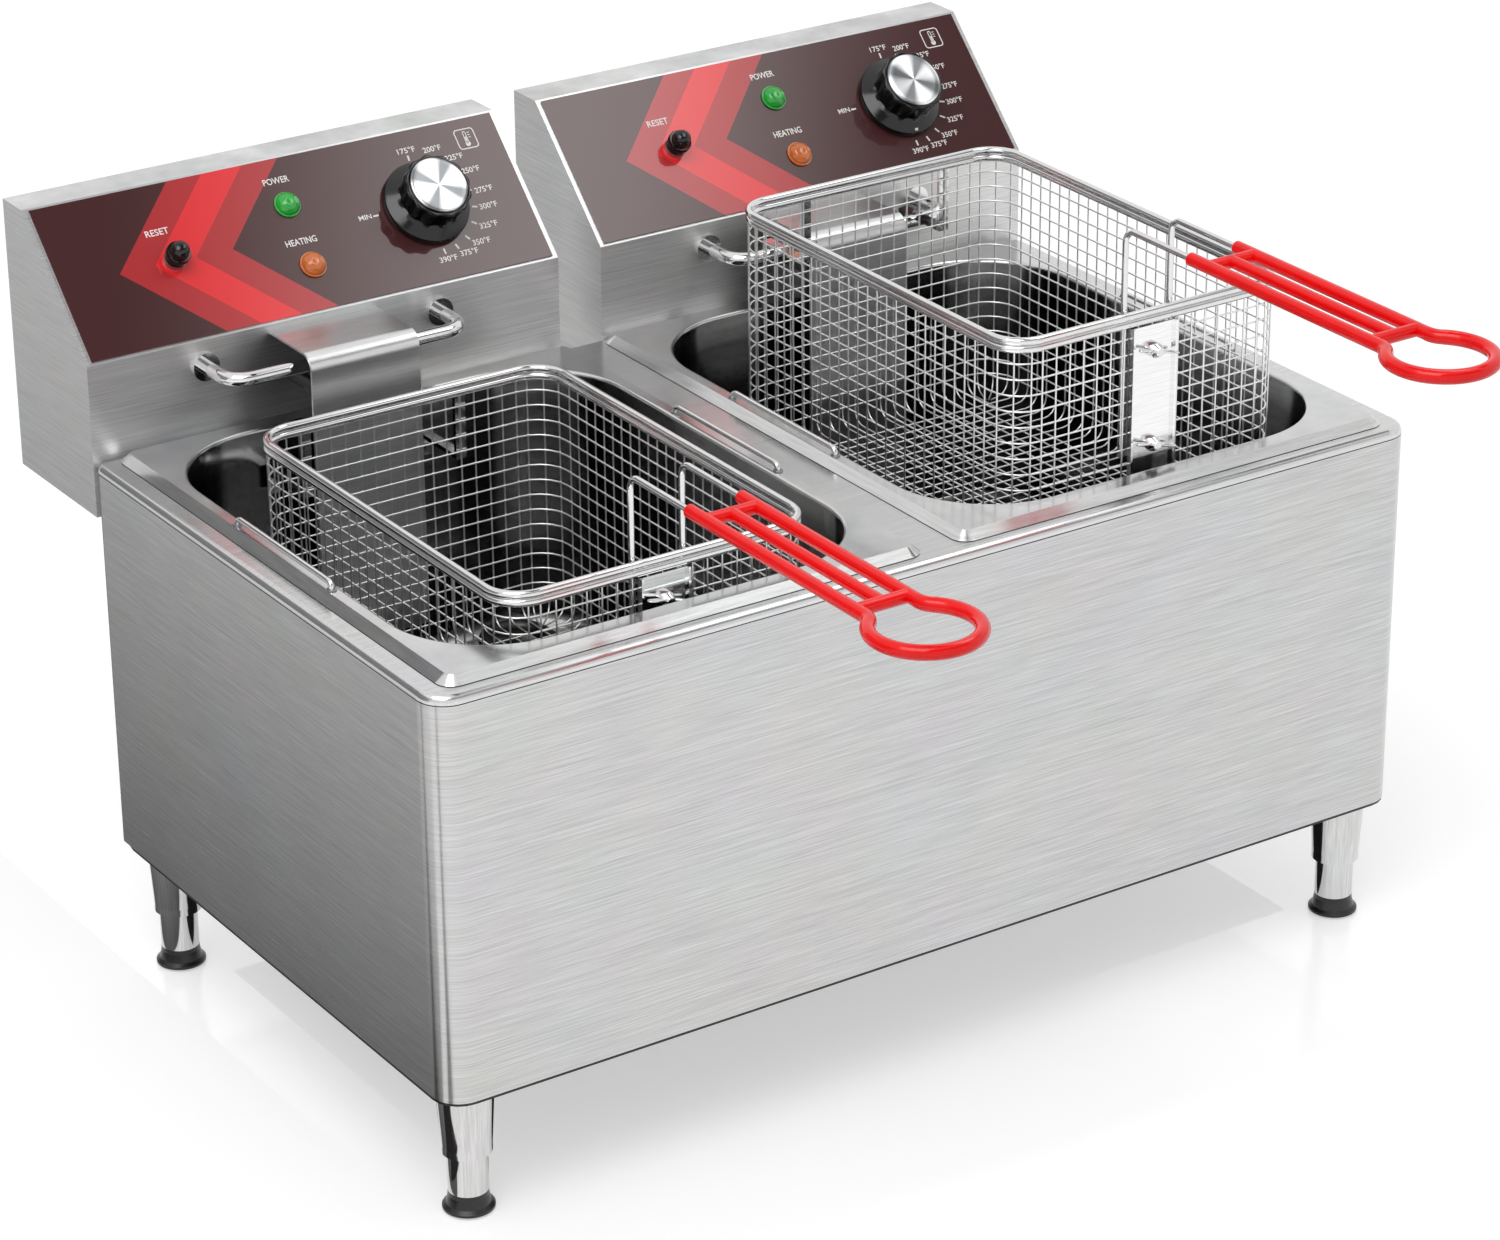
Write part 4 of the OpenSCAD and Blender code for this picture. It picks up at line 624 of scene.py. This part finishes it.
def wire_basket(side):
    """Welded wire basket: level rings inside, hoops both ways outside them."""
    lo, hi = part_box(side + "_basket_mesh")
    middle = (lo + hi) / 2
    width, depth = (hi.x - lo.x) / MM, (hi.y - lo.y) / MM
    top, floor = (hi.z - middle.z) / MM + RIM_LAP, (lo.z - middle.z) / MM
    parts = []

    ring = ring_wire(width, depth, CORNER, top - TOP_RING)
    levels = int((top - TOP_RING - floor - ROLL) / PITCH) + 1
    modify(ring, "ARRAY", count=levels, use_relative_offset=False,
           use_constant_offset=True, constant_offset_displace=(0, 0, -PITCH * MM))
    parts.append(ring)

    across = hoop("hoop_across", width / 2 - OUT, top, floor + IN)
    count, first = rows(depth - 2 * CORNER)
    settle(across, Matrix.Translation((0, first * MM, 0)))
    modify(across, "ARRAY", count=count, use_relative_offset=False,
           use_constant_offset=True, constant_offset_displace=(0, PITCH * MM, 0))
    parts.append(across)

    along = hoop("hoop_along", depth / 2 - OUT, top, floor + OUT)
    count, first = rows(width - 2 * CORNER)
    settle(along, Matrix.Translation((first * MM, 0, 0)) @ Matrix.Rotation(math.pi / 2, 4, "Z"))
    modify(along, "ARRAY", count=count, use_relative_offset=False,
           use_constant_offset=True, constant_offset_displace=(PITCH * MM, 0, 0))
    parts.append(along)

    for sx in (-1, 1):
        for sy in (-1, 1):
            hub = Vector((sx * (width / 2 - CORNER), sy * (depth / 2 - CORNER), 0)) * MM
            heading = math.atan2(sy, sx)
            for swing in TAIL_SWINGS:
                tail = corner_tail(CORNER - OUT, top, floor + IN, TAIL_RUN)
                settle(tail, Matrix.Translation(hub)
                       @ Matrix.Rotation(heading + math.radians(swing), 4, "Z"))
                parts.append(tail)
    basket = joined(parts, side + "_wire_basket")
    settle(basket, Matrix.Translation(middle))
    hand_over(basket, side + "_basket", mesh_wire, [side + "_basket_mesh"],
              sharp=60)


for side in SIDES:
    wire_basket(side)


# ---------- wing bolts ----------

# How far each bolt stands from the ends and the front of its pair's box in mm, and its
# turn in degrees out of level
BOLT_END = 4
BOLT_FACE = 7.5
BOLT_TURN = -14


def wing_bolt():
    """Wing bolt along Z: shank, round hub and two ears that lean outwards."""
    hub = turned("wing_bolt", [
        (1.9, -9.0), (2.0, -8.7), (2.0, 0.0), (4.0, 0.0), (4.0, 2.6), (3.7, 3.4),
        (2.9, 4.2), (2.6, 5.6), (2.2, 6.1)], sides=24)
    parts = [hub]
    for turn in (0, 180):
        bpy.ops.object.select_all(action="DESELECT")
        bpy.ops.mesh.primitive_cube_add(size=1, location=(3.2 * MM, 0, 3.0 * MM),
                                        scale=(2.4 * MM, 2.2 * MM, 3.6 * MM))
        ear = bpy.context.object
        settle(ear)
        for run, rise, size in ((3.0, 0.8, 1.1), (3.6, 0.7, 1.05), (2.0, 0.2, 0.72)):
            open_mesh(ear)
            far = max(vert.co.x for vert in ear.data.vertices)
            pick(ear, "FACE", lambda c: c.x > far - 0.01 * MM)
            bpy.ops.mesh.extrude_region_move(
                TRANSFORM_OT_translate={"value": (run * MM, 0, rise * MM)})
            bpy.ops.transform.resize(value=(1, 0.9, size))
            bpy.ops.object.mode_set(mode="OBJECT")
        modify(ear, "SUBSURF", levels=2, render_levels=2)
        settle(ear, Matrix.Rotation(math.radians(turn), 4, "Z"))
        parts.append(ear)
    return joined(parts, "wing_bolt")


model_bolt = wing_bolt()
for side in SIDES:
    lo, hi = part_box(side + "_basket_bolts")
    pair = []
    for height in (hi.z - BOLT_END * MM, lo.z + BOLT_END * MM):
        face = Matrix.Translation(((lo.x + hi.x) / 2, lo.y + BOLT_FACE * MM, height))
        forward = Matrix.Rotation(math.pi / 2, 4, "X")
        lean = Matrix.Rotation(math.radians(BOLT_TURN), 4, "Z")
        pair.append(copy_of(model_bolt, "bolt", face @ forward @ lean))
    bolts = joined(pair, side + "_wing_bolts")
    hand_over(bolts, side + "_basket", chrome, [side + "_basket_bolts"])
bpy.data.objects.remove(model_bolt)


# ---------- controls ----------

# Knob: lobes round its grip, facets, how much smaller its troughs are, and in mm the
# radius and the height from which they are cut
LOBES = 12
KNOB_SIDES = 96
TROUGH = 0.06
TROUGH_RADIUS = 17.0
TROUGH_FOOT = 6.9
# Where each dial points, in degrees clockwise from straight up the slope
DIALS = (44.7, 180.6)
# Pointer in mm: width, length and thickness, distance from the knob's middle, height of
# its middle, and how far the skirt falls over how long a run below it
MARK = (2.0, 5.6, 0.3)
MARK_REACH = 20.0
MARK_HEIGHT = 5.12
SKIRT_FALL = 1.9
SKIRT_RUN = 5.2


def knob():
    """Dial knob: low skirt, waisted grip with lobes, widest at its top, and a cap seat."""
    piece = turned("knob", [
        (23.0, 0.0), (23.6, 0.3), (23.75, 0.9), (23.75, 3.0), (23.5, 3.7), (22.6, 4.3),
        (19.0, 6.2), (18.0, 6.8), (17.5, 7.6), (17.4, 9.5), (17.6, 13.0), (18.1, 17.0),
        (18.6, 19.6), (18.7, 20.3), (18.4, 20.8), (17.9, 21.0), (16.6, 21.0),
        (16.2, 20.8), (16.0, 20.3)], sides=KNOB_SIDES)
    open_mesh(piece)
    step = 2 * math.pi / KNOB_SIDES
    width = KNOB_SIDES // LOBES
    for phase in range(1, width):
        depth = 0.5 - 0.5 * math.cos(2 * math.pi * phase / width)

        def in_trough(co):
            place = round(math.atan2(co.y, co.x) / step) % width
            wide = co.xy.length > TROUGH_RADIUS * MM
            return place == phase and co.z > TROUGH_FOOT * MM and wide

        pick(piece, "VERT", in_trough)
        shrink = 1 - TROUGH * depth
        bpy.ops.transform.resize(value=(shrink, shrink, 1), center_override=(0, 0, 0))
    close_mesh()
    return piece


def cap():
    """Turned cap with a small bevel and a shallow dish."""
    return turned("cap", [
        (15.4, 19.8), (15.9, 20.2), (15.9, 21.7), (15.7, 22.1), (15.2, 22.4),
        (14.4, 22.5), (12.1, 22.42), (6.5, 22.3), (1.0, 22.28)], sides=96)


def lens():
    """Signal lamp: body, bezel and a domed lens with pressed rings."""
    return turned("lens", [
        (5.8, -22.0), (6.0, -21.7), (6.0, 1.0), (7.0, 1.0), (7.3, 1.3), (7.3, 1.9),
        (7.0, 2.2), (6.5, 2.2), (6.3, 3.2), (5.9, 4.0), (5.3, 4.7), (5.1, 4.6),
        (4.5, 5.2), (4.3, 5.1), (3.6, 5.6), (3.4, 5.5), (2.5, 5.85), (2.3, 5.78),
        (1.2, 6.0), (0.3, 6.0)])


def button():
    """Reset button: stem, skirt and a round thumb."""
    return turned("button", [
        (2.8, -5.0), (3.0, -4.8), (3.0, 6.3), (6.1, 6.3), (6.5, 6.7), (6.5, 9.2),
        (6.1, 9.8), (5.2, 9.9), (5.0, 10.4), (5.0, 11.6), (4.75, 13.0), (4.1, 14.2),
        (3.1, 15.1), (1.8, 15.65), (0.5, 15.8)])


def pointer(angle):
    """White mark on the knob's skirt; angle is clockwise from straight up the slope."""
    bpy.ops.object.select_all(action="DESELECT")
    bpy.ops.mesh.primitive_plane_add(size=1)
    mark = bpy.context.object
    width, length, thick = MARK
    settle(mark, Matrix.Diagonal((width * MM, length * MM, 1, 1)))
    open_mesh(mark)
    bpy.ops.mesh.extrude_region_move(TRANSFORM_OT_translate={"value": (0, 0, thick * MM)})
    close_mesh()
    modify(mark, "BEVEL", width=0.1 * MM, segments=2)
    tilt = Matrix.Rotation(-math.atan2(SKIRT_FALL, SKIRT_RUN), 4, "X")
    settle(mark, Matrix.Rotation(-math.radians(angle), 4, "Z")
           @ Matrix.Translation((0, MARK_REACH * MM, MARK_HEIGHT * MM)) @ tilt)
    return mark


model_knob, model_cap, model_lens, model_button = knob(), cap(), lens(), button()
for side, dial in zip(SIDES, DIALS):
    seat = on_slope(side, *KNOB, PANEL_TOP + KNOB_GAP)
    middle = tuple(seat.translation)
    grip = copy_of(model_knob, side + "_dial_knob", seat)
    hand_over(grip, side + "_dial", black_moulding, [side + "_knob"])
    disc = copy_of(model_cap, side + "_dial_cap", seat)
    facing = turned_aluminium(side + "_turned_aluminium_cap", middle)
    hand_over(disc, side + "_dial", facing, [side + "_knob_cap"])
    mark = settle(pointer(dial), seat)
    mark.name = mark.data.name = side + "_dial_pointer"
    hand_over(mark, side + "_dial", white_ink)
    thumb = copy_of(model_button, side + "_reset_button", on_slope(side, *RESET))
    hand_over(thumb, side + "_reset_button", black_moulding,
              [side + "_reset"])
    for signal, spot, slot, finish in (("power", POWER, "green_lens", green_lens),
                                       ("heating", HEATING, "orange_lens", orange_lens)):
        glass = copy_of(model_lens, f"{side}_{signal}_lens", on_slope(side, *spot))
        hand_over(glass, side + "_head", finish, [f"{side}_{signal}_lamp"])
for model in (model_knob, model_cap, model_lens, model_button):
    bpy.data.objects.remove(model)


# ---------- printing ----------

# Words on the panel: text, across, up, width and height in mm
WORDS = [
    ("RESET", -73.7, 62.8, 13.2, 3.7), ("POWER", 1.0, 76.8, 15.0, 3.7),
    ("HEATING", 0.65, 40.6, 18.0, 3.7), ("MIN", 40.8, 45.8, 7.5, 2.8),
    ("175°F", 79.3, 78.0, 10.6, 3.4), ("200°F", 94.0, 75.8, 10.6, 3.4),
    ("225°F", 104.3, 68.6, 10.6, 3.4), ("250°F", 110.5, 59.5, 10.6, 3.4),
    ("275°F", 113.0, 47.1, 10.6, 3.4), ("300°F", 111.65, 37.5, 10.6, 3.4),
    ("325°F", 107.0, 26.8, 10.6, 3.4), ("350°F", 99.0, 18.5, 10.6, 3.4),
    ("375°F", 89.65, 14.1, 10.6, 3.4), ("390°F", 76.65, 13.0, 10.6, 3.4)]
# Dial marks: degrees clockwise from straight up, and distance from the knob's middle
TICKS = [(-90, 29.5), (4.5, 28), (24.6, 28), (44.7, 28), (64.8, 28), (84.9, 28),
         (104.7, 28), (124.9, 28), (146, 28), (164, 28), (180.6, 28)]
# Mark at the dial: width and length in mm
TICK = (1.0, 3.2)
# Thickness of the ink in mm, and the height of the letters before they are drawn to size
INK = 0.06
LETTER = 4


def word(text, across, up, width, height):
    """Printed word, thickened to a thin film of ink and drawn to its size."""
    bpy.ops.object.select_all(action="DESELECT")
    bpy.ops.object.text_add()
    piece = bpy.context.object
    piece.data.body = text
    piece.data.size = LETTER * MM
    piece.data.resolution_u = 3
    piece.data.offset = 0.05 * MM
    piece.data.extrude = INK / 2 * MM
    bpy.ops.object.convert(target="MESH")
    piece = bpy.context.object
    open_mesh(piece)
    close_mesh()
    spots = [vert.co for vert in piece.data.vertices]
    lo = Vector(min(spot[i] for spot in spots) for i in range(3))
    hi = Vector(max(spot[i] for spot in spots) for i in range(3))
    size = Matrix.Diagonal((width * MM / (hi.x - lo.x), height * MM / (hi.y - lo.y), 1, 1))
    settle(piece, Matrix.Translation((across * MM, up * MM, INK / 2 * MM))
           @ size @ Matrix.Translation(-(lo + hi) / 2))
    return piece


def film(width, height, place):
    """Thin bar of ink."""
    bpy.ops.object.select_all(action="DESELECT")
    bpy.ops.mesh.primitive_plane_add(size=1)
    bar = bpy.context.object
    settle(bar, Matrix.Diagonal((width * MM, height * MM, 1, 1)))
    open_mesh(bar)
    bpy.ops.mesh.extrude_region_move(TRANSFORM_OT_translate={"value": (0, 0, INK * MM)})
    close_mesh()
    return settle(bar, place)


def outline(width, height, corner, line, thick=INK):
    """Thin line, of ink unless it is thicker, round a rounded rectangle."""
    bpy.ops.object.select_all(action="DESELECT")
    bpy.ops.mesh.primitive_plane_add(size=1)
    frame_line = bpy.context.object
    settle(frame_line, Matrix.Diagonal((width * MM, height * MM, 1, 1)))
    open_mesh(frame_line)
    bpy.ops.mesh.select_mode(type="VERT")
    bpy.ops.mesh.bevel(offset=corner * MM, segments=5, affect="VERTICES")
    bpy.ops.mesh.select_mode(type="FACE")
    bpy.ops.mesh.select_all(action="SELECT")
    bpy.ops.mesh.inset(thickness=line * MM)
    bpy.ops.mesh.delete(type="FACE")
    bpy.ops.mesh.select_all(action="SELECT")
    bpy.ops.mesh.extrude_region_move(TRANSFORM_OT_translate={"value": (0, 0, thick * MM)})
    close_mesh()
    return frame_line


def heat_sign():
    """Small framed thermometer beside the dial."""
    shift = Matrix.Translation((115.8 * MM, 77.3 * MM, 0))
    parts = [settle(outline(12, 12, 2, 0.6), shift)]
    bulb = turned("bulb", [(1.5, 0), (1.5, INK)], sides=24)
    parts.append(settle(bulb, shift @ Matrix.Translation((0, -3.0 * MM, 0))))
    parts.append(settle(outline(2.0, 7.0, 0.99, 0.45),
                        shift @ Matrix.Translation((0, 1.0 * MM, 0))))
    parts.append(film(0.7, 4.0, shift @ Matrix.Translation((0, -0.8 * MM, 0))))
    for row in (0.6, 2.0, 3.4):
        parts.append(film(1.3, 0.4, shift @ Matrix.Translation((2.4 * MM, row * MM, 0))))
    return parts


def panel_printing():
    """All words and marks of one panel, lying flat."""
    parts = [word(*entry) for entry in WORDS]
    for degrees, reach in TICKS:
        turn = Matrix.Rotation(-math.radians(degrees), 4, "Z")
        hub = Matrix.Translation((KNOB[0] * MM, KNOB[1] * MM, 0))
        parts.append(film(*TICK, hub @ turn @ Matrix.Translation((0, reach * MM, 0))))
    return joined(parts + heat_sign(), "printing")


model_printing = panel_printing()
for side in SIDES:
    ink = copy_of(model_printing, side + "_panel_printing", on_slope(side, lift=PANEL_TOP))
    hand_over(ink, side + "_head", white_ink)
bpy.data.objects.remove(model_printing)


# ---------- painted shadow along the lower edge ---

# Black strip under the walls that paints the shadow of the lower fold, in mm: height,
# width, radius of its corners, and how much smaller than the cabinet it is
SHADOW_LINE = 1.4
SHADOW_LINE_WIDTH = 1.2
SHADOW_LINE_CORNER = 15
SHADOW_LINE_INSET = 0.2


def base_shadow_line():
    """Dark line along the cabinet's lower edge: a painted shadow of the fold, in the black rubber
    finish.
    """
    lo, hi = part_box("cabinet_shell")
    shadow_line = outline((hi.x - lo.x) / MM - SHADOW_LINE_INSET, (hi.y - lo.y) / MM - SHADOW_LINE_INSET,
                   SHADOW_LINE_CORNER, SHADOW_LINE_WIDTH, thick=SHADOW_LINE)
    shadow_line.name = "base_shadow_line"
    settle(shadow_line, Matrix.Translation(((lo.x + hi.x) / 2, (lo.y + hi.y) / 2, lo.z - SHADOW_LINE * MM)))
    hand_over(shadow_line, "cabinet", black_rubber)


base_shadow_line()


# ---------- studio ----------

# Light from all round, how white the surroundings look, and the glow that lifts the table
SOFT_LIGHT = 0.55
WHITE = 1.0
TABLE_GLOW = 0.46
# Side of the table in m, and how far from a board's middle its glow ends, as a share
TABLE_SIZE = 14
GLOW_REACH = 0.36
# Heights in m of the boards on the table, one above the other
BOARD_LIFT = 0.002
STRIP_LIFT = 0.004


def seen_ray(tree):
    """1 where the camera sees something, directly, in metal or through a lens."""
    path = add(tree, "LightPath")
    seen = add(tree, "Math", operation="MAXIMUM",
               links={0: path.outputs["Is Camera Ray"], 1: path.outputs["Is Glossy Ray"]})
    seen = add(tree, "Math", operation="MAXIMUM",
               links={0: seen.outputs[0], 1: path.outputs["Is Transmission Ray"]})
    return seen.outputs[0]


def world_light():
    """Plain white surroundings: soft light on the object, full white where they are seen,
    directly or in metal."""
    world = bpy.data.worlds.new("studio")
    scene.world = world
    world.use_nodes = True
    tree = world.node_tree
    tree.nodes.clear()
    seen = seen_ray(tree)
    soft = add(tree, "Background", {"Color": (1, 1, 1, 1), "Strength": SOFT_LIGHT})
    white = add(tree, "Background", {"Color": (1, 1, 1, 1), "Strength": WHITE})
    both = add(tree, "MixShader", links={0: seen, 1: soft.outputs[0], 2: white.outputs[0]})
    add(tree, "OutputWorld", links={"Surface": both.outputs[0]})


def lamp(name, spot, aim, size, power):
    """Square soft box of that size in metres, turned to its aim."""
    data = bpy.data.lights.new(name, "AREA")
    data.shape = "SQUARE"
    data.size = size
    data.energy = power
    box = bpy.data.objects.new(name, data)
    scene.collection.objects.link(box)
    box.location = spot
    box.rotation_euler = (Vector(aim) - Vector(spot)).to_track_quat("-Z", "Y").to_euler()


def floor_finish():
    """Glossy white acrylic table: pale, with faint reflections of the feet. Rays that see
    it get a little glow, so that its lit part is white and the shadow stays."""
    material, tree, shader = new_material(
        "white_acrylic_table", Roughness=0.12, Emission_Color=(1, 1, 1, 1),
        Base_Color=colour("#DEDEDE"))
    seen = seen_ray(tree)
    glow = add(tree, "Math", {1: TABLE_GLOW}, operation="MULTIPLY", links={0: seen})
    tree.links.new(glow.outputs[0], shader.inputs["Emission Strength"])
    return material


def board_cloth(name, near, far, glow):
    """Matt cloth that runs from one tone to another along a board's own X, which points to
    the world's low X on a board that faces up. It may glow softly along its middle."""
    material, tree, shader = new_material(name + "_cloth", Roughness=0.9,
                                          Emission_Color=(1, 1, 1, 1))
    place = add(tree, "TexCoord").outputs["Object"]
    across = add(tree, "SeparateXYZ", links={"Vector": place}).outputs["X"]
    share = add(tree, "Math", {1: 0.5}, operation="ADD", links={0: across})
    tone = add(tree, "ValToRGB", links={"Fac": share.outputs[0]})
    ramp_stops(tone, [(0.0, colour(near)), (1.0, colour(far))])
    tree.links.new(tone.outputs["Color"], shader.inputs["Base Color"])
    off = add(tree, "Math", operation="ABSOLUTE", links={0: across})
    light = add(tree, "MapRange", {"From Max": GLOW_REACH, "To Min": glow, "To Max": 0.0},
                {"Value": off.outputs[0]}, interpolation_type="SMOOTHSTEP")
    tree.links.new(light.outputs["Result"], shader.inputs["Emission Strength"])
    return material


def board(name, tone, spot, aim, width, height, far=None, glow=0.0, turn=0.0):
    """Board beside the set that only polished surfaces see: steel needs something darker
    than its lights to mirror."""
    cloth = board_cloth(name, tone, far or tone, glow)
    bpy.ops.object.select_all(action="DESELECT")
    bpy.ops.mesh.primitive_plane_add(size=1, location=spot)
    sheet = bpy.context.object
    sheet.name = name
    sheet.scale = (width, height, 1)
    sheet.rotation_euler = (Vector(aim) - Vector(spot)).to_track_quat("Z", "Y").to_euler()
    sheet.rotation_euler.rotate_axis("Z", math.radians(turn))
    sheet.visible_camera = sheet.visible_diffuse = sheet.visible_shadow = False
    sheet.visible_transmission = False
    sheet.data.materials.append(cloth)


def table_board(name, tone, x, y, width, depth, lift=BOARD_LIFT, **options):
    """Board lying on the table."""
    board(name, tone, (x, y, lift), (x, y, 1.0), width, depth, **options)


def studio():
    """Table, surroundings, a soft box and the grey boards."""
    bpy.ops.object.select_all(action="DESELECT")
    bpy.ops.mesh.primitive_plane_add(size=TABLE_SIZE, location=(0, 0, 0))
    floor = bpy.context.object
    floor.name = "floor"
    floor.data.materials.append(floor_finish())
    world_light()
    lamp("key", (-1.3, -0.9, 2.6), (0, 0, 0.2), 1.8, 34)
    board("front_board", "#B4B4B4", (0.3, -2.3, 2.6), (0, 0, 0.3), 4.6, 1.3)
    # The panels mirror this one: dark, with a soft glow between the two heads
    board("top_board", "#141414", (0.475, -0.09, 1.15), (0.475, -0.09, 0), 1.02, 0.50, glow=4.1)
    board("left_board", "#A8A8A8", (-1.9, 1.2, 0.9), (-0.3, 0.1, 0.3), 3.4, 1.8)
    # Painted shadow for the left side to mirror: dark next to the cabinet, pale far out, where the
    # cabinet's shadow lies on the table
    table_board("side_board", "#646464", -0.502, 0.65, 0.42, 1.5, far="#F4F4F4")
    # Painted shadow for the feet to mirror: a dark sheet under the cabinet, where the table lies
    # in its shade
    table_board("under_board", "#1C1C1C", 0, 0.05, 0.50, 0.26)
    # Strips that the rounded front corner and the feet mirror as upright bands
    table_board("dark_strip", "#0C0C0C", -0.614, 0.12, 0.75, 0.05, lift=STRIP_LIFT, turn=-36)
    table_board("grey_strip", "#5A5A5A", -0.67, -0.293, 0.70, 0.04, lift=STRIP_LIFT, turn=25)


studio()
